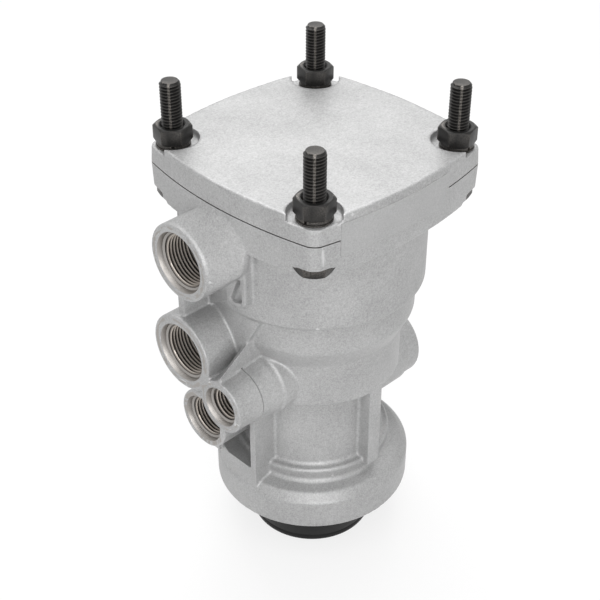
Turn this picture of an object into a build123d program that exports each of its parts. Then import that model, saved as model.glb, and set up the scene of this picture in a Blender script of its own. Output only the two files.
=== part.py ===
from build123d import *
from dataclasses import dataclass
import math
import os

# Trailer control valve, in millimetres. The origin is the centre of the four mounting studs on
# the plane of their nuts' top faces, +Z along the studs. The valve hangs below that plane.

# Mounting studs, nuts and washers
STUD_PITCH = 75.0
STUD_RADIUS = 4.0
STUD_REACH = 17.4
STUD_CHAMFER = 0.8
NUT_HEIGHT = 6.5
NUT_FLATS = 13.0
WASHER_THICK = 2.1
WASHER_RADIUS = 6.35
THREAD_SINK = 0.4
HEAD_HEIGHT = 4.0
BOLT_HOLE_RADIUS = 4.5

# Cover and body flange: a square with crowned sides and cut corners
SIDE_HALF = 49.2
SIDE_CROWN = 180.0
CORNER_REACH = 61.0
CORNER_BLEND = 4.0
COVER_HEIGHT = 9.7
COVER_PLATE = 4.5
COVER_DRAFT = 4.0
POCKET_RADIUS = 9.9
POCKET_DEPTH = 3.0
FLANGE_HEIGHT = 13.7
FLANGE_DRAFT = 2.0
SPOTFACE_DEPTH = 3.6
LUG_RADIUS = 10.0
LUG_STEP = 1.2
HEAD_ROOM_RADIUS = 8.4
HEAD_ROOM_DEPTH = 3.0
EDGE_ROUND = 0.7
SPLIT_CHAMFER = 0.25
SIDE_SHARE = 0.48

# Body casting, outside, from the split plane down
BOWL_RADIUS = 44.5
BOWL_LENGTH = 47.2
NECK_RADIUS = 41.0
NECK_LENGTH = 14.1
DRUM_RADIUS = 36.0
TAPER_LENGTH = 9.4
DRUM_LENGTH = 20.0
LOWER_RADIUS = 29.6
LOWER_LENGTH = 36.5
LEDGE_RADIUS = 33.4
LEDGE_HEIGHT = 6.2
SHOULDER_RADIUS = 38.6
BASE_RADIUS = 41.7
BASE_HEIGHT = 18.1
RIM_HEIGHT = 13.2
RIM_RISE = 2.2
CREASE_DROP = 1.2
BOWL_EDGE = 1.6
NECK_BLEND = 6.0
DRUM_BLEND = 5.0
LEDGE_FILLET = 3.2
LEDGE_EDGE = 1.2
VALLEY_ROUND = 2.0
UNDERCUT = 1.0
FOOT_RADIUS = 26.7
FOOT_HEIGHT = 23.2

# Body casting, inside
BOWL_WALL = 5.0
DRUM_WALL = 6.0
LAND_STEP = 2.0
LOWER_WALL = 5.6
RELAY_BORE_DEPTH = 40.7
DECK_HEIGHT = 3.0
GUIDE_STEP = 1.8
BASE_WALL = 6.7
PLATE_RECESS = 9.8

# Ports
PORT_FACE = 58.3
DELIVERY_RING = 15.8
SUPPLY_RING = 16.2
CONTROL_RING = 11.4
SERVICE_RING = 13.1
AUXILIARY_RING = 16.9
DEPTH_LARGE = 14.0
DEPTH_SMALL = 13.0
DEPTH_MEDIUM = 11.0
DELIVERY_PASSAGE = 8.0
SUPPLY_PASSAGE = 7.5
AUXILIARY_PASSAGE = 4.5
SERVICE_PASSAGE = 3.0
CONTROL_PASSAGE = 2.2
PASSAGE_OVERRUN = 2.0
RING_EDGE = 0.5
SEAT_LIP = 0.5
BORE_POINT = 3.0
THREAD_MAJOR_LARGE = 11.0
THREAD_MAJOR_MEDIUM = 9.0
THREAD_MAJOR_SMALL = 7.0
SEAT_DEPTH = 2.2
SEAT_STEP = 1.3
DELIVERY_DROP = 25.6
DELIVERY_ACROSS = 12.5
SUPPLY_ACROSS = 14.4
SUPPLY_RISE = 2.7
CONTROL_ACROSS = -7.9
CONTROL_RISE = 8.5
SERVICE_ACROSS = 14.5
SERVICE_DROP = 16.4
SERVICE_SETBACK = 9.3
AUXILIARY_DROP = 17.2
AUXILIARY_SETBACK = 8.3

# Ribs and webs between the ports and the base
RIB_ACROSS = 0.7
RIB_THICK = 6.6
RIB_REACH = 35.5
WEB_THICK = 3.0
WEB_REACH = 40.0
WEB_NEAR = -4.0
WEB_FAR = 16.0
MANIFOLD_REACH = 47.0
MANIFOLD_NEAR = -11.3
MANIFOLD_FAR = 31.0
MANIFOLD_SIDE = 43.0
MANIFOLD_TURN = -1.0
MANIFOLD_CORNER = 5.0
MANIFOLD_RISE = 5.8
MANIFOLD_LIFT = 2.4
MANIFOLD_BLEND = 2.5
CORE_ACROSS = -8.6
CORE_TOP_DROP = 12.0
CORE_HEIGHT = 17.0
CORE_WIDTH = 7.0
CORE_SLANT = 2.0
CORE_DEPTH = 3.4
CORE_ROUND = 0.8
GUSSET_THICK = 3.5
GUSSET_SETBACK = 2.8
GUSSET_LEAN = 0.4
GUSSET_ROOT_FAR = 25.5
WEB_FOOT_DROP = 3.6
RIB_FOOT_DROP = 2.6
BOX_FLOOR_RISE = 2.6
BOX_FLOOR_MARGIN = 0.3
BRIDGE_ACROSS = -7.5
BRIDGE_REACH = 57.2
BRIDGE_TIP_RISE = 1.7
BRIDGE_RISE = 18.2
BRIDGE_DEPTH = 4.0
BRIDGE_CLIMB = -1.0

# Roots of the port barrels
BELL_START = 1.0
BELL_END = 8.9
BELL_RADIUS = 15.0
BELL_SHIFT = -11.8
BELL_RISE = 10.2
BELL_SPLAY = 1.5
BELL_ROOT = 3.0
APRON_RADIUS = 43.6
APRON_NEAR = -14.4
APRON_EDGE = -0.6
APRON_EDGE_DROP = 4.5
APRON_FAR = 28.0
APRON_DROP = 12.0
STEP_EXTRA = 0.8
CONTROL_STEP_DEPTH = 16.4
COLLAR_EXTRA = 2.2
CONTROL_COLLAR_DEPTH = 20.3
AUXILIARY_STEP_DEPTH = 8.0
ROOT_SINK = 2.0
OVERLAP = 0.2
CONTROL_ROOT = 22.0

# Working gaps and travels
SLIDE_GAP = 0.3
SEAT_GAP = 0.3
HAND_TRAVEL = 2.4
SEAL_SIZE = 2.6
SEAL_EASE = 0.05

# Relay piston
RELAY_CROWN_GAP = 0.6
RELAY_CROWN = 5.0
RELAY_SKIRT = 10.0
RELAY_SKIRT_WALL = 6.0
STEM_RADIUS = 9.6
STEM_BORE = 7.2

# Hand brake piston, the valve inside it and its guide
LAND_HEIGHT = 11.0
INLET_SEAT_RADIUS = 12.5
WAIST_RADIUS = 24.0
WAIST_WALL = 3.0
LOWER_LAND_HEIGHT = 6.4
TUBE_RADIUS = 15.0
TUBE_WALL = 3.0
VALVE_HEAD_RADIUS = 16.0
VALVE_HEAD_THICK = 5.0
VALVE_TUBE_RADIUS = 8.4
VALVE_TUBE_BORE = 6.2
GUIDE_HEIGHT = 9.0
FACE_THICK = 2.0
SNAP_THICK = 1.4
SNAP_BITE = 1.1

# Springs
RELAY_WIRE = 2.4
RELAY_TURNS = 3.5
VALVE_WIRE = 1.6
VALVE_TURNS = 4.5
HAND_WIRE = 2.4
HAND_TURNS = 4.5

# Lower guide insert and exhaust end
INSERT_TOP_DROP = 22.0
INSERT_HEIGHT = 10.0
PLATE_THICK = 6.0
EXHAUST_NECK_RADIUS = 21.5
EXHAUST_BORE = 18.5
EXHAUST_NECK_LENGTH = 9.0
SPOKE_WIDTH = 3.2
HUB_RADIUS = 4.5
FLAP_THICK = 1.5
FLAP_LAP = 1.6
STEM_BUTTON = 1.9
FOOT_LIP = 3.2

# Label over the split line
LABEL_LENGTH = 54.0
LABEL_HEIGHT = 13.0
LABEL_THICK = 0.25
LABEL_OFFSET = -7.0

# Levels, from the nuts' top faces down
Z_FLOOR = -(NUT_HEIGHT + WASHER_THICK)
Z_TOP = Z_FLOOR + POCKET_DEPTH
Z_SPLIT = Z_TOP - COVER_HEIGHT
Z_FLANGE = Z_SPLIT - FLANGE_HEIGHT
Z_LUG = Z_FLANGE + SPOTFACE_DEPTH
Z_CREASE = Z_SPLIT - BOWL_LENGTH
Z_NECK = Z_CREASE - NECK_LENGTH
Z_DRUM = Z_NECK - TAPER_LENGTH
Z_STEP = Z_DRUM - DRUM_LENGTH
Z_LEDGE = Z_STEP - LOWER_LENGTH
Z_VALLEY = Z_LEDGE - LEDGE_HEIGHT
Z_BASE = Z_VALLEY - BASE_HEIGHT
Z_RIM = Z_BASE + RIM_HEIGHT
Z_FOOT = Z_BASE - FOOT_HEIGHT
Z_RELAY_SEAT = Z_SPLIT - RELAY_BORE_DEPTH
Z_DECK = Z_STEP + DECK_HEIGHT
Z_INSERT = Z_STEP - INSERT_TOP_DROP
Z_INSERT_END = Z_INSERT - INSERT_HEIGHT
Z_PLATE = Z_BASE + PLATE_RECESS
Z_PLATE_END = Z_PLATE - PLATE_THICK
Z_NECK_END = Z_PLATE_END - EXHAUST_NECK_LENGTH

# Bores
RELAY_BORE = BOWL_RADIUS - BOWL_WALL
LOWER_LAND_BORE = DRUM_RADIUS - DRUM_WALL
LAND_BORE = LOWER_LAND_BORE + LAND_STEP
LOWER_BORE = LOWER_RADIUS - LOWER_WALL
INSERT_BORE = LOWER_BORE + GUIDE_STEP
PLATE_BORE = BASE_RADIUS - BASE_WALL

# Levels of the ports
DELIVERY_LEVEL = Z_SPLIT - DELIVERY_DROP
SUPPLY_LEVEL = Z_DRUM + SUPPLY_RISE
CONTROL_LEVEL = Z_STEP + CONTROL_RISE
SERVICE_LEVEL = Z_STEP - SERVICE_DROP
AUXILIARY_LEVEL = Z_STEP - AUXILIARY_DROP

# Levels of the pistons and the valve in their resting places
Z_STOP_RING = Z_RELAY_SEAT - 1.0
Z_HAND_TOP = Z_STOP_RING - SNAP_THICK - SLIDE_GAP
Z_HAND_SEAT = Z_HAND_TOP - LAND_HEIGHT
Z_LOWER_LAND_END = Z_DECK + HAND_TRAVEL + 1.6
Z_LOWER_LAND = Z_LOWER_LAND_END + LOWER_LAND_HEIGHT
Z_TUBE_END = Z_INSERT_END + 2.0
Z_FACE = Z_HAND_SEAT - SEAT_GAP
Z_STEM_END = Z_HAND_SEAT
Z_GUIDE = Z_LOWER_LAND
Z_GUIDE_END = Z_GUIDE - GUIDE_HEIGHT
Z_VALVE_END = Z_GUIDE_END - 4.0

BOLT_PLACES = [(x, y) for x in (-STUD_PITCH / 2, STUD_PITCH / 2) for y in (-STUD_PITCH / 2, STUD_PITCH / 2)]


@dataclass
class Port:
    """One threaded port: side is -1 or +1 along X, across is its Y and level its Z."""

    side: int
    across: float
    level: float
    face: float
    major: float
    ring: float
    depth: float
    passage: float
    passage_level: float
    inner: float


PORTS = {
    "delivery": Port(-1, DELIVERY_ACROSS, DELIVERY_LEVEL, PORT_FACE, THREAD_MAJOR_LARGE, DELIVERY_RING,
                     DEPTH_LARGE, DELIVERY_PASSAGE, DELIVERY_LEVEL, RELAY_BORE),
    "supply": Port(-1, SUPPLY_ACROSS, SUPPLY_LEVEL, PORT_FACE, THREAD_MAJOR_LARGE, SUPPLY_RING,
                   DEPTH_LARGE, SUPPLY_PASSAGE, SUPPLY_LEVEL, LOWER_LAND_BORE),
    "control": Port(-1, CONTROL_ACROSS, CONTROL_LEVEL, PORT_FACE, THREAD_MAJOR_SMALL, CONTROL_RING,
                    DEPTH_SMALL, CONTROL_PASSAGE, Z_DECK + CONTROL_PASSAGE, LOWER_LAND_BORE),
    "service": Port(-1, SERVICE_ACROSS, SERVICE_LEVEL, PORT_FACE - SERVICE_SETBACK, THREAD_MAJOR_MEDIUM,
                    SERVICE_RING, DEPTH_MEDIUM, SERVICE_PASSAGE, SERVICE_LEVEL, LOWER_BORE),
    "auxiliary": Port(1, 0.0, AUXILIARY_LEVEL, PORT_FACE - AUXILIARY_SETBACK, THREAD_MAJOR_LARGE,
                      AUXILIARY_RING, DEPTH_LARGE, AUXILIARY_PASSAGE, AUXILIARY_LEVEL, LOWER_BORE),
}


def fitting(points, index, radius):
    """The corner's radius, limited so that its round keeps to under half of each side next to it."""
    here = Vector(*points[index])
    before = Vector(*points[index - 1]) - here
    after = Vector(*points[(index + 1) % len(points)]) - here
    half_angle = math.radians(before.get_angle(after)) / 2
    room = SIDE_SHARE * min(before.length, after.length)
    return min(radius, room * math.tan(half_angle))


def rounded_face(points, rounds):
    """A face from its corners, with rounded corners by index."""
    corners = [Vector(*point) for point in points]
    radii = [0.0] * len(corners)
    for index, radius in rounds.items():
        radii[index] = fitting(corners, index, radius)
    return make_face(FilletPolyline(*corners, radius=radii, close=True))


def turned(*points, rounds=None):
    """A solid of revolution about Z from (radius, level) corners, with rounded corners by index."""
    corners = [(radius, 0, level) for radius, level in points]
    return revolve(rounded_face(corners, rounds or {}), Axis.Z)


def ring(outer, inner, top, bottom):
    """A plain ring about Z between two levels."""
    height = top - bottom
    body = Cylinder(outer, height) - Cylinder(inner, height + 1)
    return Pos(0, 0, (top + bottom) / 2) * body


def disc(radius, top, bottom):
    """A plain disc about Z between two levels."""
    return Pos(0, 0, (top + bottom) / 2) * Cylinder(radius, top - bottom)


def block(x_low, x_high, y_low, y_high, z_low, z_high):
    """A box between the given planes."""
    box = Box(x_high - x_low, y_high - y_low, z_high - z_low)
    return Pos((x_low + x_high) / 2, (y_low + y_high) / 2, (z_low + z_high) / 2) * box


def o_ring(mean_radius, level):
    """A seal ring of round section, eased a little from its groove."""
    return Pos(0, 0, level) * Torus(mean_radius, SEAL_SIZE / 2 - SEAL_EASE)


def outer_groove(radius, level):
    """Cutter for a seal groove round the outside of a part of this radius."""
    half = SEAL_SIZE / 2
    return ring(radius + 1, radius - SEAL_SIZE + SLIDE_GAP, level + half, level - half)


def outer_seal(radius, level):
    """The seal that lies in outer_groove."""
    return o_ring(radius + SLIDE_GAP - SEAL_SIZE / 2 - SEAL_EASE, level)


def snap_ring(bore, inner, top, at_mouth=0.0):
    """A snap ring in a bore's groove, with the gap between its ears."""
    shape = ring(bore + SNAP_BITE - SEAL_EASE, inner, top, top - SNAP_THICK)
    gap = block(0, bore + 5, -3.5, 3.5, top - SNAP_THICK - 1, top + 1)
    turn = Rot(0, 0, at_mouth)
    return shape - turn * gap


def snap_groove(bore, top):
    """Cutter for a snap ring's groove."""
    return ring(bore + SNAP_BITE, bore - 1, top + SEAL_EASE, top - SNAP_THICK - SEAL_EASE)


def coil(mean_radius, wire, turns, top, bottom):
    """An open coil spring standing between two levels."""
    height = top - bottom - wire - 0.2
    path = Helix(pitch=height / turns, height=height, radius=mean_radius)
    section = Plane(origin=path @ 0, z_dir=path % 0) * Circle(wire / 2)
    spring = sweep(section, path=path, is_frenet=True)
    return Pos(0, 0, bottom + wire / 2 + 0.1) * spring


def crowned_square(half):
    """Plan outline of the cover and the flange: four shallow arcs, and flats across their corners."""
    shift = SIDE_CROWN - half
    span = (CORNER_REACH + half - SIDE_HALF) * math.sqrt(2)
    corner = (math.sqrt(2 * SIDE_CROWN ** 2 - shift ** 2) - shift) / 2
    quarters = [Rot(0, 0, 90 * quarter) for quarter in range(4)]
    if span >= 2 * corner:
        side = ThreePointArc((corner, -corner), (half, 0), (corner, corner))
        outline = make_face([turn * side for turn in quarters])
        return fillet(outline.vertices(), CORNER_BLEND)
    total = span + shift
    near = (total - math.sqrt(2 * SIDE_CROWN ** 2 - total ** 2)) / 2
    far = span - near
    side = ThreePointArc((far, -near), (half, 0), (far, near))
    flat = Line((far, near), (near, far))
    outline = make_face([turn * piece for turn in quarters for piece in (side, flat)])
    turning = math.radians(45) - math.asin(near / SIDE_CROWN)
    room = SIDE_SHARE * flat.length / math.tan(turning / 2)
    return fillet(outline.vertices(), min(CORNER_BLEND, room))


def at_bolts(shape):
    """The shape repeated at the four bolts."""
    return [Pos(x, y, 0) * shape for x, y in BOLT_PLACES]


def hexagon(flats, height):
    """A hexagonal prism standing on Z = 0, two of its flats square to the plan's diagonal."""
    outline = RegularPolygon(flats / 2, 6, major_radius=False, rotation=15)
    return extrude(outline, height)


def top_cover():
    """The cast cover with its piston chamber, corner pockets and bolt holes."""
    plan = Plane.XY.offset(Z_TOP) * crowned_square(SIDE_HALF)
    cover = extrude(plan, -COVER_HEIGHT, taper=-COVER_DRAFT)
    top_edges = cover.faces().sort_by(Axis.Z)[-1].edges()
    cover = fillet(top_edges, EDGE_ROUND)
    bottom_edges = cover.faces().sort_by(Axis.Z)[0].edges()
    cover = chamfer(bottom_edges, SPLIT_CHAMFER)
    cover -= disc(RELAY_BORE - 1, Z_TOP - COVER_PLATE, Z_SPLIT - 1)
    for pocket in at_bolts(disc(POCKET_RADIUS, Z_TOP + 1, Z_FLOOR)):
        cover -= pocket
    for hole in at_bolts(disc(BOLT_HOLE_RADIUS, Z_TOP + 1, Z_SPLIT - 1)):
        cover -= hole
    return cover


def flange():
    """The body's square flange with its drafted side, before the lugs are spot-faced."""
    split_half = SIDE_HALF + COVER_HEIGHT * math.tan(math.radians(COVER_DRAFT))
    plan = Plane.XY.offset(Z_SPLIT) * crowned_square(split_half)
    solid = extrude(plan, -FLANGE_HEIGHT, taper=FLANGE_DRAFT)
    top_edges = solid.faces().sort_by(Axis.Z)[-1].edges()
    solid = chamfer(top_edges, SPLIT_CHAMFER)
    bottom_edges = solid.faces().sort_by(Axis.Z)[0].edges()
    return fillet(bottom_edges, EDGE_ROUND)


def turned_outside():
    """The bowl, neck, drum, lower neck and round base as one turned outline."""
    return turned(
        (0, Z_FLANGE + 6),
        (BOWL_RADIUS, Z_FLANGE + 6),
        (BOWL_RADIUS, Z_CREASE),
        (NECK_RADIUS, Z_CREASE - CREASE_DROP),
        (NECK_RADIUS, Z_NECK),
        (DRUM_RADIUS, Z_DRUM),
        (DRUM_RADIUS, Z_STEP),
        (LOWER_RADIUS, Z_STEP - 0.6),
        (LOWER_RADIUS, Z_LEDGE),
        (LEDGE_RADIUS, Z_LEDGE),
        (LEDGE_RADIUS - UNDERCUT, Z_VALLEY),
        (SHOULDER_RADIUS, Z_RIM + 2 * RIM_RISE - 1.1),
        (SHOULDER_RADIUS + 1.2, Z_RIM + RIM_RISE - 0.3),
        (BASE_RADIUS, Z_RIM),
        (BASE_RADIUS, Z_BASE),
        (0, Z_BASE),
        rounds={
            2: BOWL_EDGE,
            3: CREASE_DROP,
            4: NECK_BLEND,
            5: DRUM_BLEND,
            6: EDGE_ROUND,
            7: EDGE_ROUND,
            8: LEDGE_FILLET,
            9: LEDGE_EDGE,
            10: VALLEY_ROUND,
            11: BOWL_EDGE,
            12: LEDGE_EDGE,
            13: BOWL_EDGE,
            14: EDGE_ROUND,
        },
    )


def turned_inside():
    """Everything that the boring bars take out of the casting."""
    return turned(
        (0, Z_SPLIT + 1),
        (RELAY_BORE, Z_SPLIT + 1),
        (RELAY_BORE, Z_RELAY_SEAT),
        (LAND_BORE, Z_RELAY_SEAT),
        (LAND_BORE, Z_NECK),
        (LOWER_LAND_BORE, Z_NECK - 1.0),
        (LOWER_LAND_BORE, Z_DECK),
        (LOWER_BORE, Z_DECK),
        (LOWER_BORE, Z_INSERT),
        (INSERT_BORE, Z_INSERT),
        (INSERT_BORE, Z_PLATE),
        (PLATE_BORE, Z_PLATE),
        (PLATE_BORE, Z_BASE - 1),
        (0, Z_BASE - 1),
    )


def along_port(port, shape):
    """Turn a shape built along +Z, with its mouth at Z = 0, to the port's mouth."""
    frame = Plane(origin=(port.side * port.face, port.across, port.level), x_dir=(0, 1, 0),
                  z_dir=(port.side, 0, 0))
    return frame * shape


def barrel(port, depth):
    """The round boss of one port, to a depth behind its face, with a softened rim."""
    boss = Pos(0, 0, -depth / 2) * Cylinder(port.ring, depth)
    rim = boss.faces().sort_by(Axis.Z)[-1].edges()
    return along_port(port, fillet(rim, RING_EDGE))


def at_angle(centre, radius, degrees):
    """The point of a circle at an angle from its own X axis."""
    turn = math.radians(degrees)
    return (centre[0] + radius * math.cos(turn), centre[1] + radius * math.sin(turn))


def bell(port, shift, rise, radius):
    """The skewed cone that spreads a barrel from its mouth to a second circle on the flange's side."""
    here = (0, 0)
    there = (shift, rise)
    towards = math.degrees(math.atan2(rise, shift))
    opening = math.degrees(math.acos((port.ring - radius) / math.hypot(shift, rise)))
    low = towards - opening
    high = towards + opening
    front = Plane(origin=(port.side * (port.face - BELL_START), port.across, port.level), x_dir=(0, 1, 0),
                  z_dir=(1, 0, 0))
    back = Plane(origin=(port.side * (port.face - BELL_END), port.across, port.level), x_dir=(0, 1, 0),
                 z_dir=(1, 0, 0))
    rim = port.ring - OVERLAP / 2
    stops = [high + BELL_SPLAY, low - BELL_SPLAY + 360, low + BELL_SPLAY + 360, high - BELL_SPLAY + 360,
             high + BELL_SPLAY + 360]
    arcs = []
    for begin, finish in zip(stops, stops[1:]):
        arcs.append(ThreePointArc(at_angle(here, rim, begin), at_angle(here, rim, (begin + finish) / 2),
                                  at_angle(here, rim, finish)))
    mouth = make_face(arcs)
    root = make_face([
        ThreePointArc(at_angle(here, port.ring, high), at_angle(here, port.ring, towards + 180),
                      at_angle(here, port.ring, low)),
        Line(at_angle(here, port.ring, low), at_angle(there, radius, low)),
        ThreePointArc(at_angle(there, radius, low), at_angle(there, radius, towards), at_angle(there, radius, high)),
        Line(at_angle(there, radius, high), at_angle(here, port.ring, high)),
    ])
    cone = loft([front * mouth, back * root], ruled=True)
    inner = extrude(back * root, BELL_ROOT)
    return cone + inner


def thread_bore(port):
    """Cutter for one port: flat seat, lead, thread bore and the passage inwards."""
    seat = port.major + SEAT_STEP
    cutter = turned(
        (0, 1),
        (seat, 1),
        (seat, 0),
        (seat - SEAT_LIP, -SEAT_DEPTH),
        (port.major, -SEAT_DEPTH - SEAT_LIP),
        (port.major, -port.depth),
        (0, -port.depth - BORE_POINT),
    )
    return along_port(port, cutter)


def passage(port):
    """Cutter from a port's thread bore to the chamber that it serves."""
    start = port.face - port.depth + 1.0
    end = math.sqrt(port.inner ** 2 - port.across ** 2) - port.passage - PASSAGE_OVERRUN
    hole = Rot(0, 90, 0) * Cylinder(port.passage, start - end)
    return Pos(port.side * (start + end) / 2, port.across, port.passage_level) * hole


def bosses():
    """Port barrels with their roots."""
    delivery = PORTS["delivery"]
    supply = PORTS["supply"]
    control = PORTS["control"]
    service = PORTS["service"]
    auxiliary = PORTS["auxiliary"]
    pieces = [
        barrel(delivery, delivery.face - RELAY_BORE - ROOT_SINK),
        barrel(supply, supply.face - LOWER_LAND_BORE - ROOT_SINK),
        barrel(control, control.face - CONTROL_ROOT),
        barrel(service, service.face - LOWER_BORE - ROOT_SINK),
        barrel(auxiliary, auxiliary.face - LOWER_BORE - ROOT_SINK),
    ]
    pieces.append(bell(delivery, BELL_SHIFT, BELL_RISE, BELL_RADIUS))
    pieces.append(apron(supply))
    pieces.append(step_root(control, CONTROL_STEP_DEPTH, STEP_EXTRA))
    pieces.append(step_root(control, CONTROL_COLLAR_DEPTH, COLLAR_EXTRA))
    pieces.append(step_root(auxiliary, AUXILIARY_STEP_DEPTH, STEP_EXTRA))
    return pieces


def step_root(port, depth, extra):
    """The larger root of a barrel behind a mould parting step."""
    length = port.face - depth - LOWER_BORE - ROOT_SINK
    root = Pos(0, 0, -depth - length / 2) * Cylinder(port.ring + extra, length)
    top = root.faces().sort_by(Axis.Z)[-1].edges()
    return along_port(port, chamfer(top, extra - OVERLAP / 2))


def apron(port):
    """The pad on the neck round a barrel's root, cut off along a slanting line."""
    plane = Plane(origin=(-APRON_RADIUS, 0, 0), x_dir=(0, 1, 0), z_dir=(1, 0, 0))
    low = port.level - port.ring + APRON_DROP
    outline = make_face(Polyline(
        (APRON_NEAR, Z_CREASE + BOWL_EDGE),
        (APRON_EDGE, port.level - APRON_EDGE_DROP),
        (port.across, low),
        (APRON_FAR, low),
        (APRON_FAR, Z_CREASE + BOWL_EDGE),
        close=True,
    ))
    prism = extrude(plane * outline, APRON_RADIUS - port.inner - ROOT_SINK)
    return prism & disc(APRON_RADIUS, Z_CREASE + BOWL_EDGE, Z_STEP)


def manifold():
    """The pad of the bowl that overhangs the supply barrel, with its cored pocket."""
    root = RELAY_BORE + ROOT_SINK
    near_low = Z_CREASE + MANIFOLD_RISE
    far_low = SUPPLY_LEVEL + SUPPLY_RING - OVERLAP
    plan = make_face(Polyline(
        (-root, MANIFOLD_NEAR),
        (-MANIFOLD_REACH, MANIFOLD_NEAR),
        (-MANIFOLD_REACH, MANIFOLD_TURN),
        (-MANIFOLD_SIDE, SUPPLY_ACROSS),
        (-MANIFOLD_SIDE, MANIFOLD_FAR),
        (-root, MANIFOLD_FAR),
        close=True,
    ))
    corners = [
        (-MANIFOLD_REACH - 1, MANIFOLD_NEAR, Z_FLANGE + 1),
        (-MANIFOLD_REACH - 1, MANIFOLD_NEAR, near_low + MANIFOLD_LIFT),
        (-MANIFOLD_REACH - 1, MANIFOLD_NEAR + MANIFOLD_CORNER, near_low),
        (-MANIFOLD_REACH - 1, MANIFOLD_TURN, near_low),
        (-MANIFOLD_REACH - 1, SUPPLY_ACROSS, far_low),
        (-MANIFOLD_REACH - 1, MANIFOLD_FAR, far_low),
        (-MANIFOLD_REACH - 1, MANIFOLD_FAR, Z_FLANGE + 1),
    ]
    side = rounded_face(corners, {1: MANIFOLD_BLEND, 2: MANIFOLD_BLEND})
    column = extrude(Plane.XY.offset(far_low - 1) * plan, Z_FLANGE + 2 - far_low)
    pad = column & extrude(side, MANIFOLD_REACH, dir=(1, 0, 0))
    peak = Z_FLANGE - CORE_TOP_DROP
    foot = peak - CORE_HEIGHT
    corners = [
        (-MANIFOLD_REACH - 1, CORE_ACROSS, peak),
        (-MANIFOLD_REACH - 1, CORE_ACROSS + CORE_WIDTH, foot),
        (-MANIFOLD_REACH - 1, CORE_ACROSS - CORE_SLANT / 2, foot + CORE_SLANT),
    ]
    outline = rounded_face(corners, {0: CORE_ROUND, 1: CORE_ROUND, 2: CORE_ROUND})
    pocket = extrude(outline, CORE_DEPTH + 1, dir=(1, 0, 0))
    return pad - pocket


def gusset():
    """The web that stands on the supply barrel's top and carries the delivery barrel."""
    tip = PORT_FACE - GUSSET_SETBACK
    near = SUPPLY_ACROSS - GUSSET_LEAN
    root = RELAY_BORE + ROOT_SINK
    plan = make_face(Polyline(
        (-tip, near),
        (-root, near),
        (-root, GUSSET_ROOT_FAR),
        (-MANIFOLD_SIDE, GUSSET_ROOT_FAR),
        (-tip, near + GUSSET_THICK),
        close=True,
    ))
    return extrude(Plane.XY.offset(SUPPLY_LEVEL) * plan, DELIVERY_LEVEL - SUPPLY_LEVEL)


def lower_webs():
    """The box of two webs under the small ports, the two ribs and the web over the control port."""
    web_foot = Z_LEDGE - WEB_FOOT_DROP
    rib_foot = Z_LEDGE - RIB_FOOT_DROP
    rib_low = RIB_ACROSS - RIB_THICK / 2
    rib_high = RIB_ACROSS + RIB_THICK / 2
    near = WEB_NEAR - WEB_THICK
    far = WEB_FAR + WEB_THICK
    floor = block(-WEB_REACH, -LOWER_BORE - ROOT_SINK, near, far, Z_RIM, web_foot + BOX_FLOOR_RISE)
    bridge = Plane(origin=(0, BRIDGE_ACROSS, 0), x_dir=(1, 0, 0), z_dir=(0, -1, 0))
    crest = CONTROL_LEVEL + CONTROL_RING
    root = LOWER_LAND_BORE + ROOT_SINK
    plate = make_face(Polyline(
        (-root, CONTROL_LEVEL),
        (-BRIDGE_REACH, CONTROL_LEVEL),
        (-BRIDGE_REACH, crest + BRIDGE_TIP_RISE),
        (-root, crest + BRIDGE_RISE),
        close=True,
    ))
    return [
        block(rib_low, rib_high, -RIB_REACH, 0, rib_foot, Z_STEP + 2),
        block(rib_low, rib_high, 0, RIB_REACH, rib_foot, Z_STEP + 2),
        block(-WEB_REACH, 0, near, WEB_NEAR, web_foot, CONTROL_LEVEL),
        block(-WEB_REACH, 0, WEB_FAR, far, web_foot, SERVICE_LEVEL + WEB_THICK),
        floor & disc(BASE_RADIUS - BOX_FLOOR_MARGIN, Z_LEDGE, Z_RIM),
        extrude(bridge * plate, BRIDGE_DEPTH, dir=(0, 1, BRIDGE_CLIMB)),
    ]


def body_casting():
    """The one-piece housing: flange, turned outline, bosses and webs, then all bores."""
    body = flange() + turned_outside()
    for piece in bosses():
        body += piece
    body += manifold()
    body += gusset()
    for piece in lower_webs():
        body += piece
    body -= turned_inside()
    for port in PORTS.values():
        body -= thread_bore(port)
        body -= passage(port)
    for hole in at_bolts(disc(BOLT_HOLE_RADIUS, Z_SPLIT + 1, Z_FLANGE - 1)):
        body -= hole
    for face in at_bolts(disc(LUG_RADIUS, Z_FLANGE + LUG_STEP, Z_FLANGE - HEAD_ROOM_DEPTH)):
        body -= face & lug_zone()
    for room in at_bolts(disc(HEAD_ROOM_RADIUS, Z_LUG, Z_FLANGE - HEAD_ROOM_DEPTH)):
        body -= room
    body -= snap_groove(LAND_BORE, Z_STOP_RING)
    body -= snap_groove(INSERT_BORE, Z_INSERT_END)
    body -= snap_groove(PLATE_BORE, Z_PLATE_END)
    body -= ring(RELAY_BORE + 1.2 + SEAL_SIZE, RELAY_BORE + 1.2, Z_SPLIT + 1, Z_SPLIT - SEAL_SIZE)
    return body


def lug_zone():
    """All but the bowl wall, so that spot-facing leaves the bowl whole."""
    return ring(CORNER_REACH + LUG_RADIUS, BOWL_RADIUS - OVERLAP, Z_SPLIT, Z_CREASE)


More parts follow.
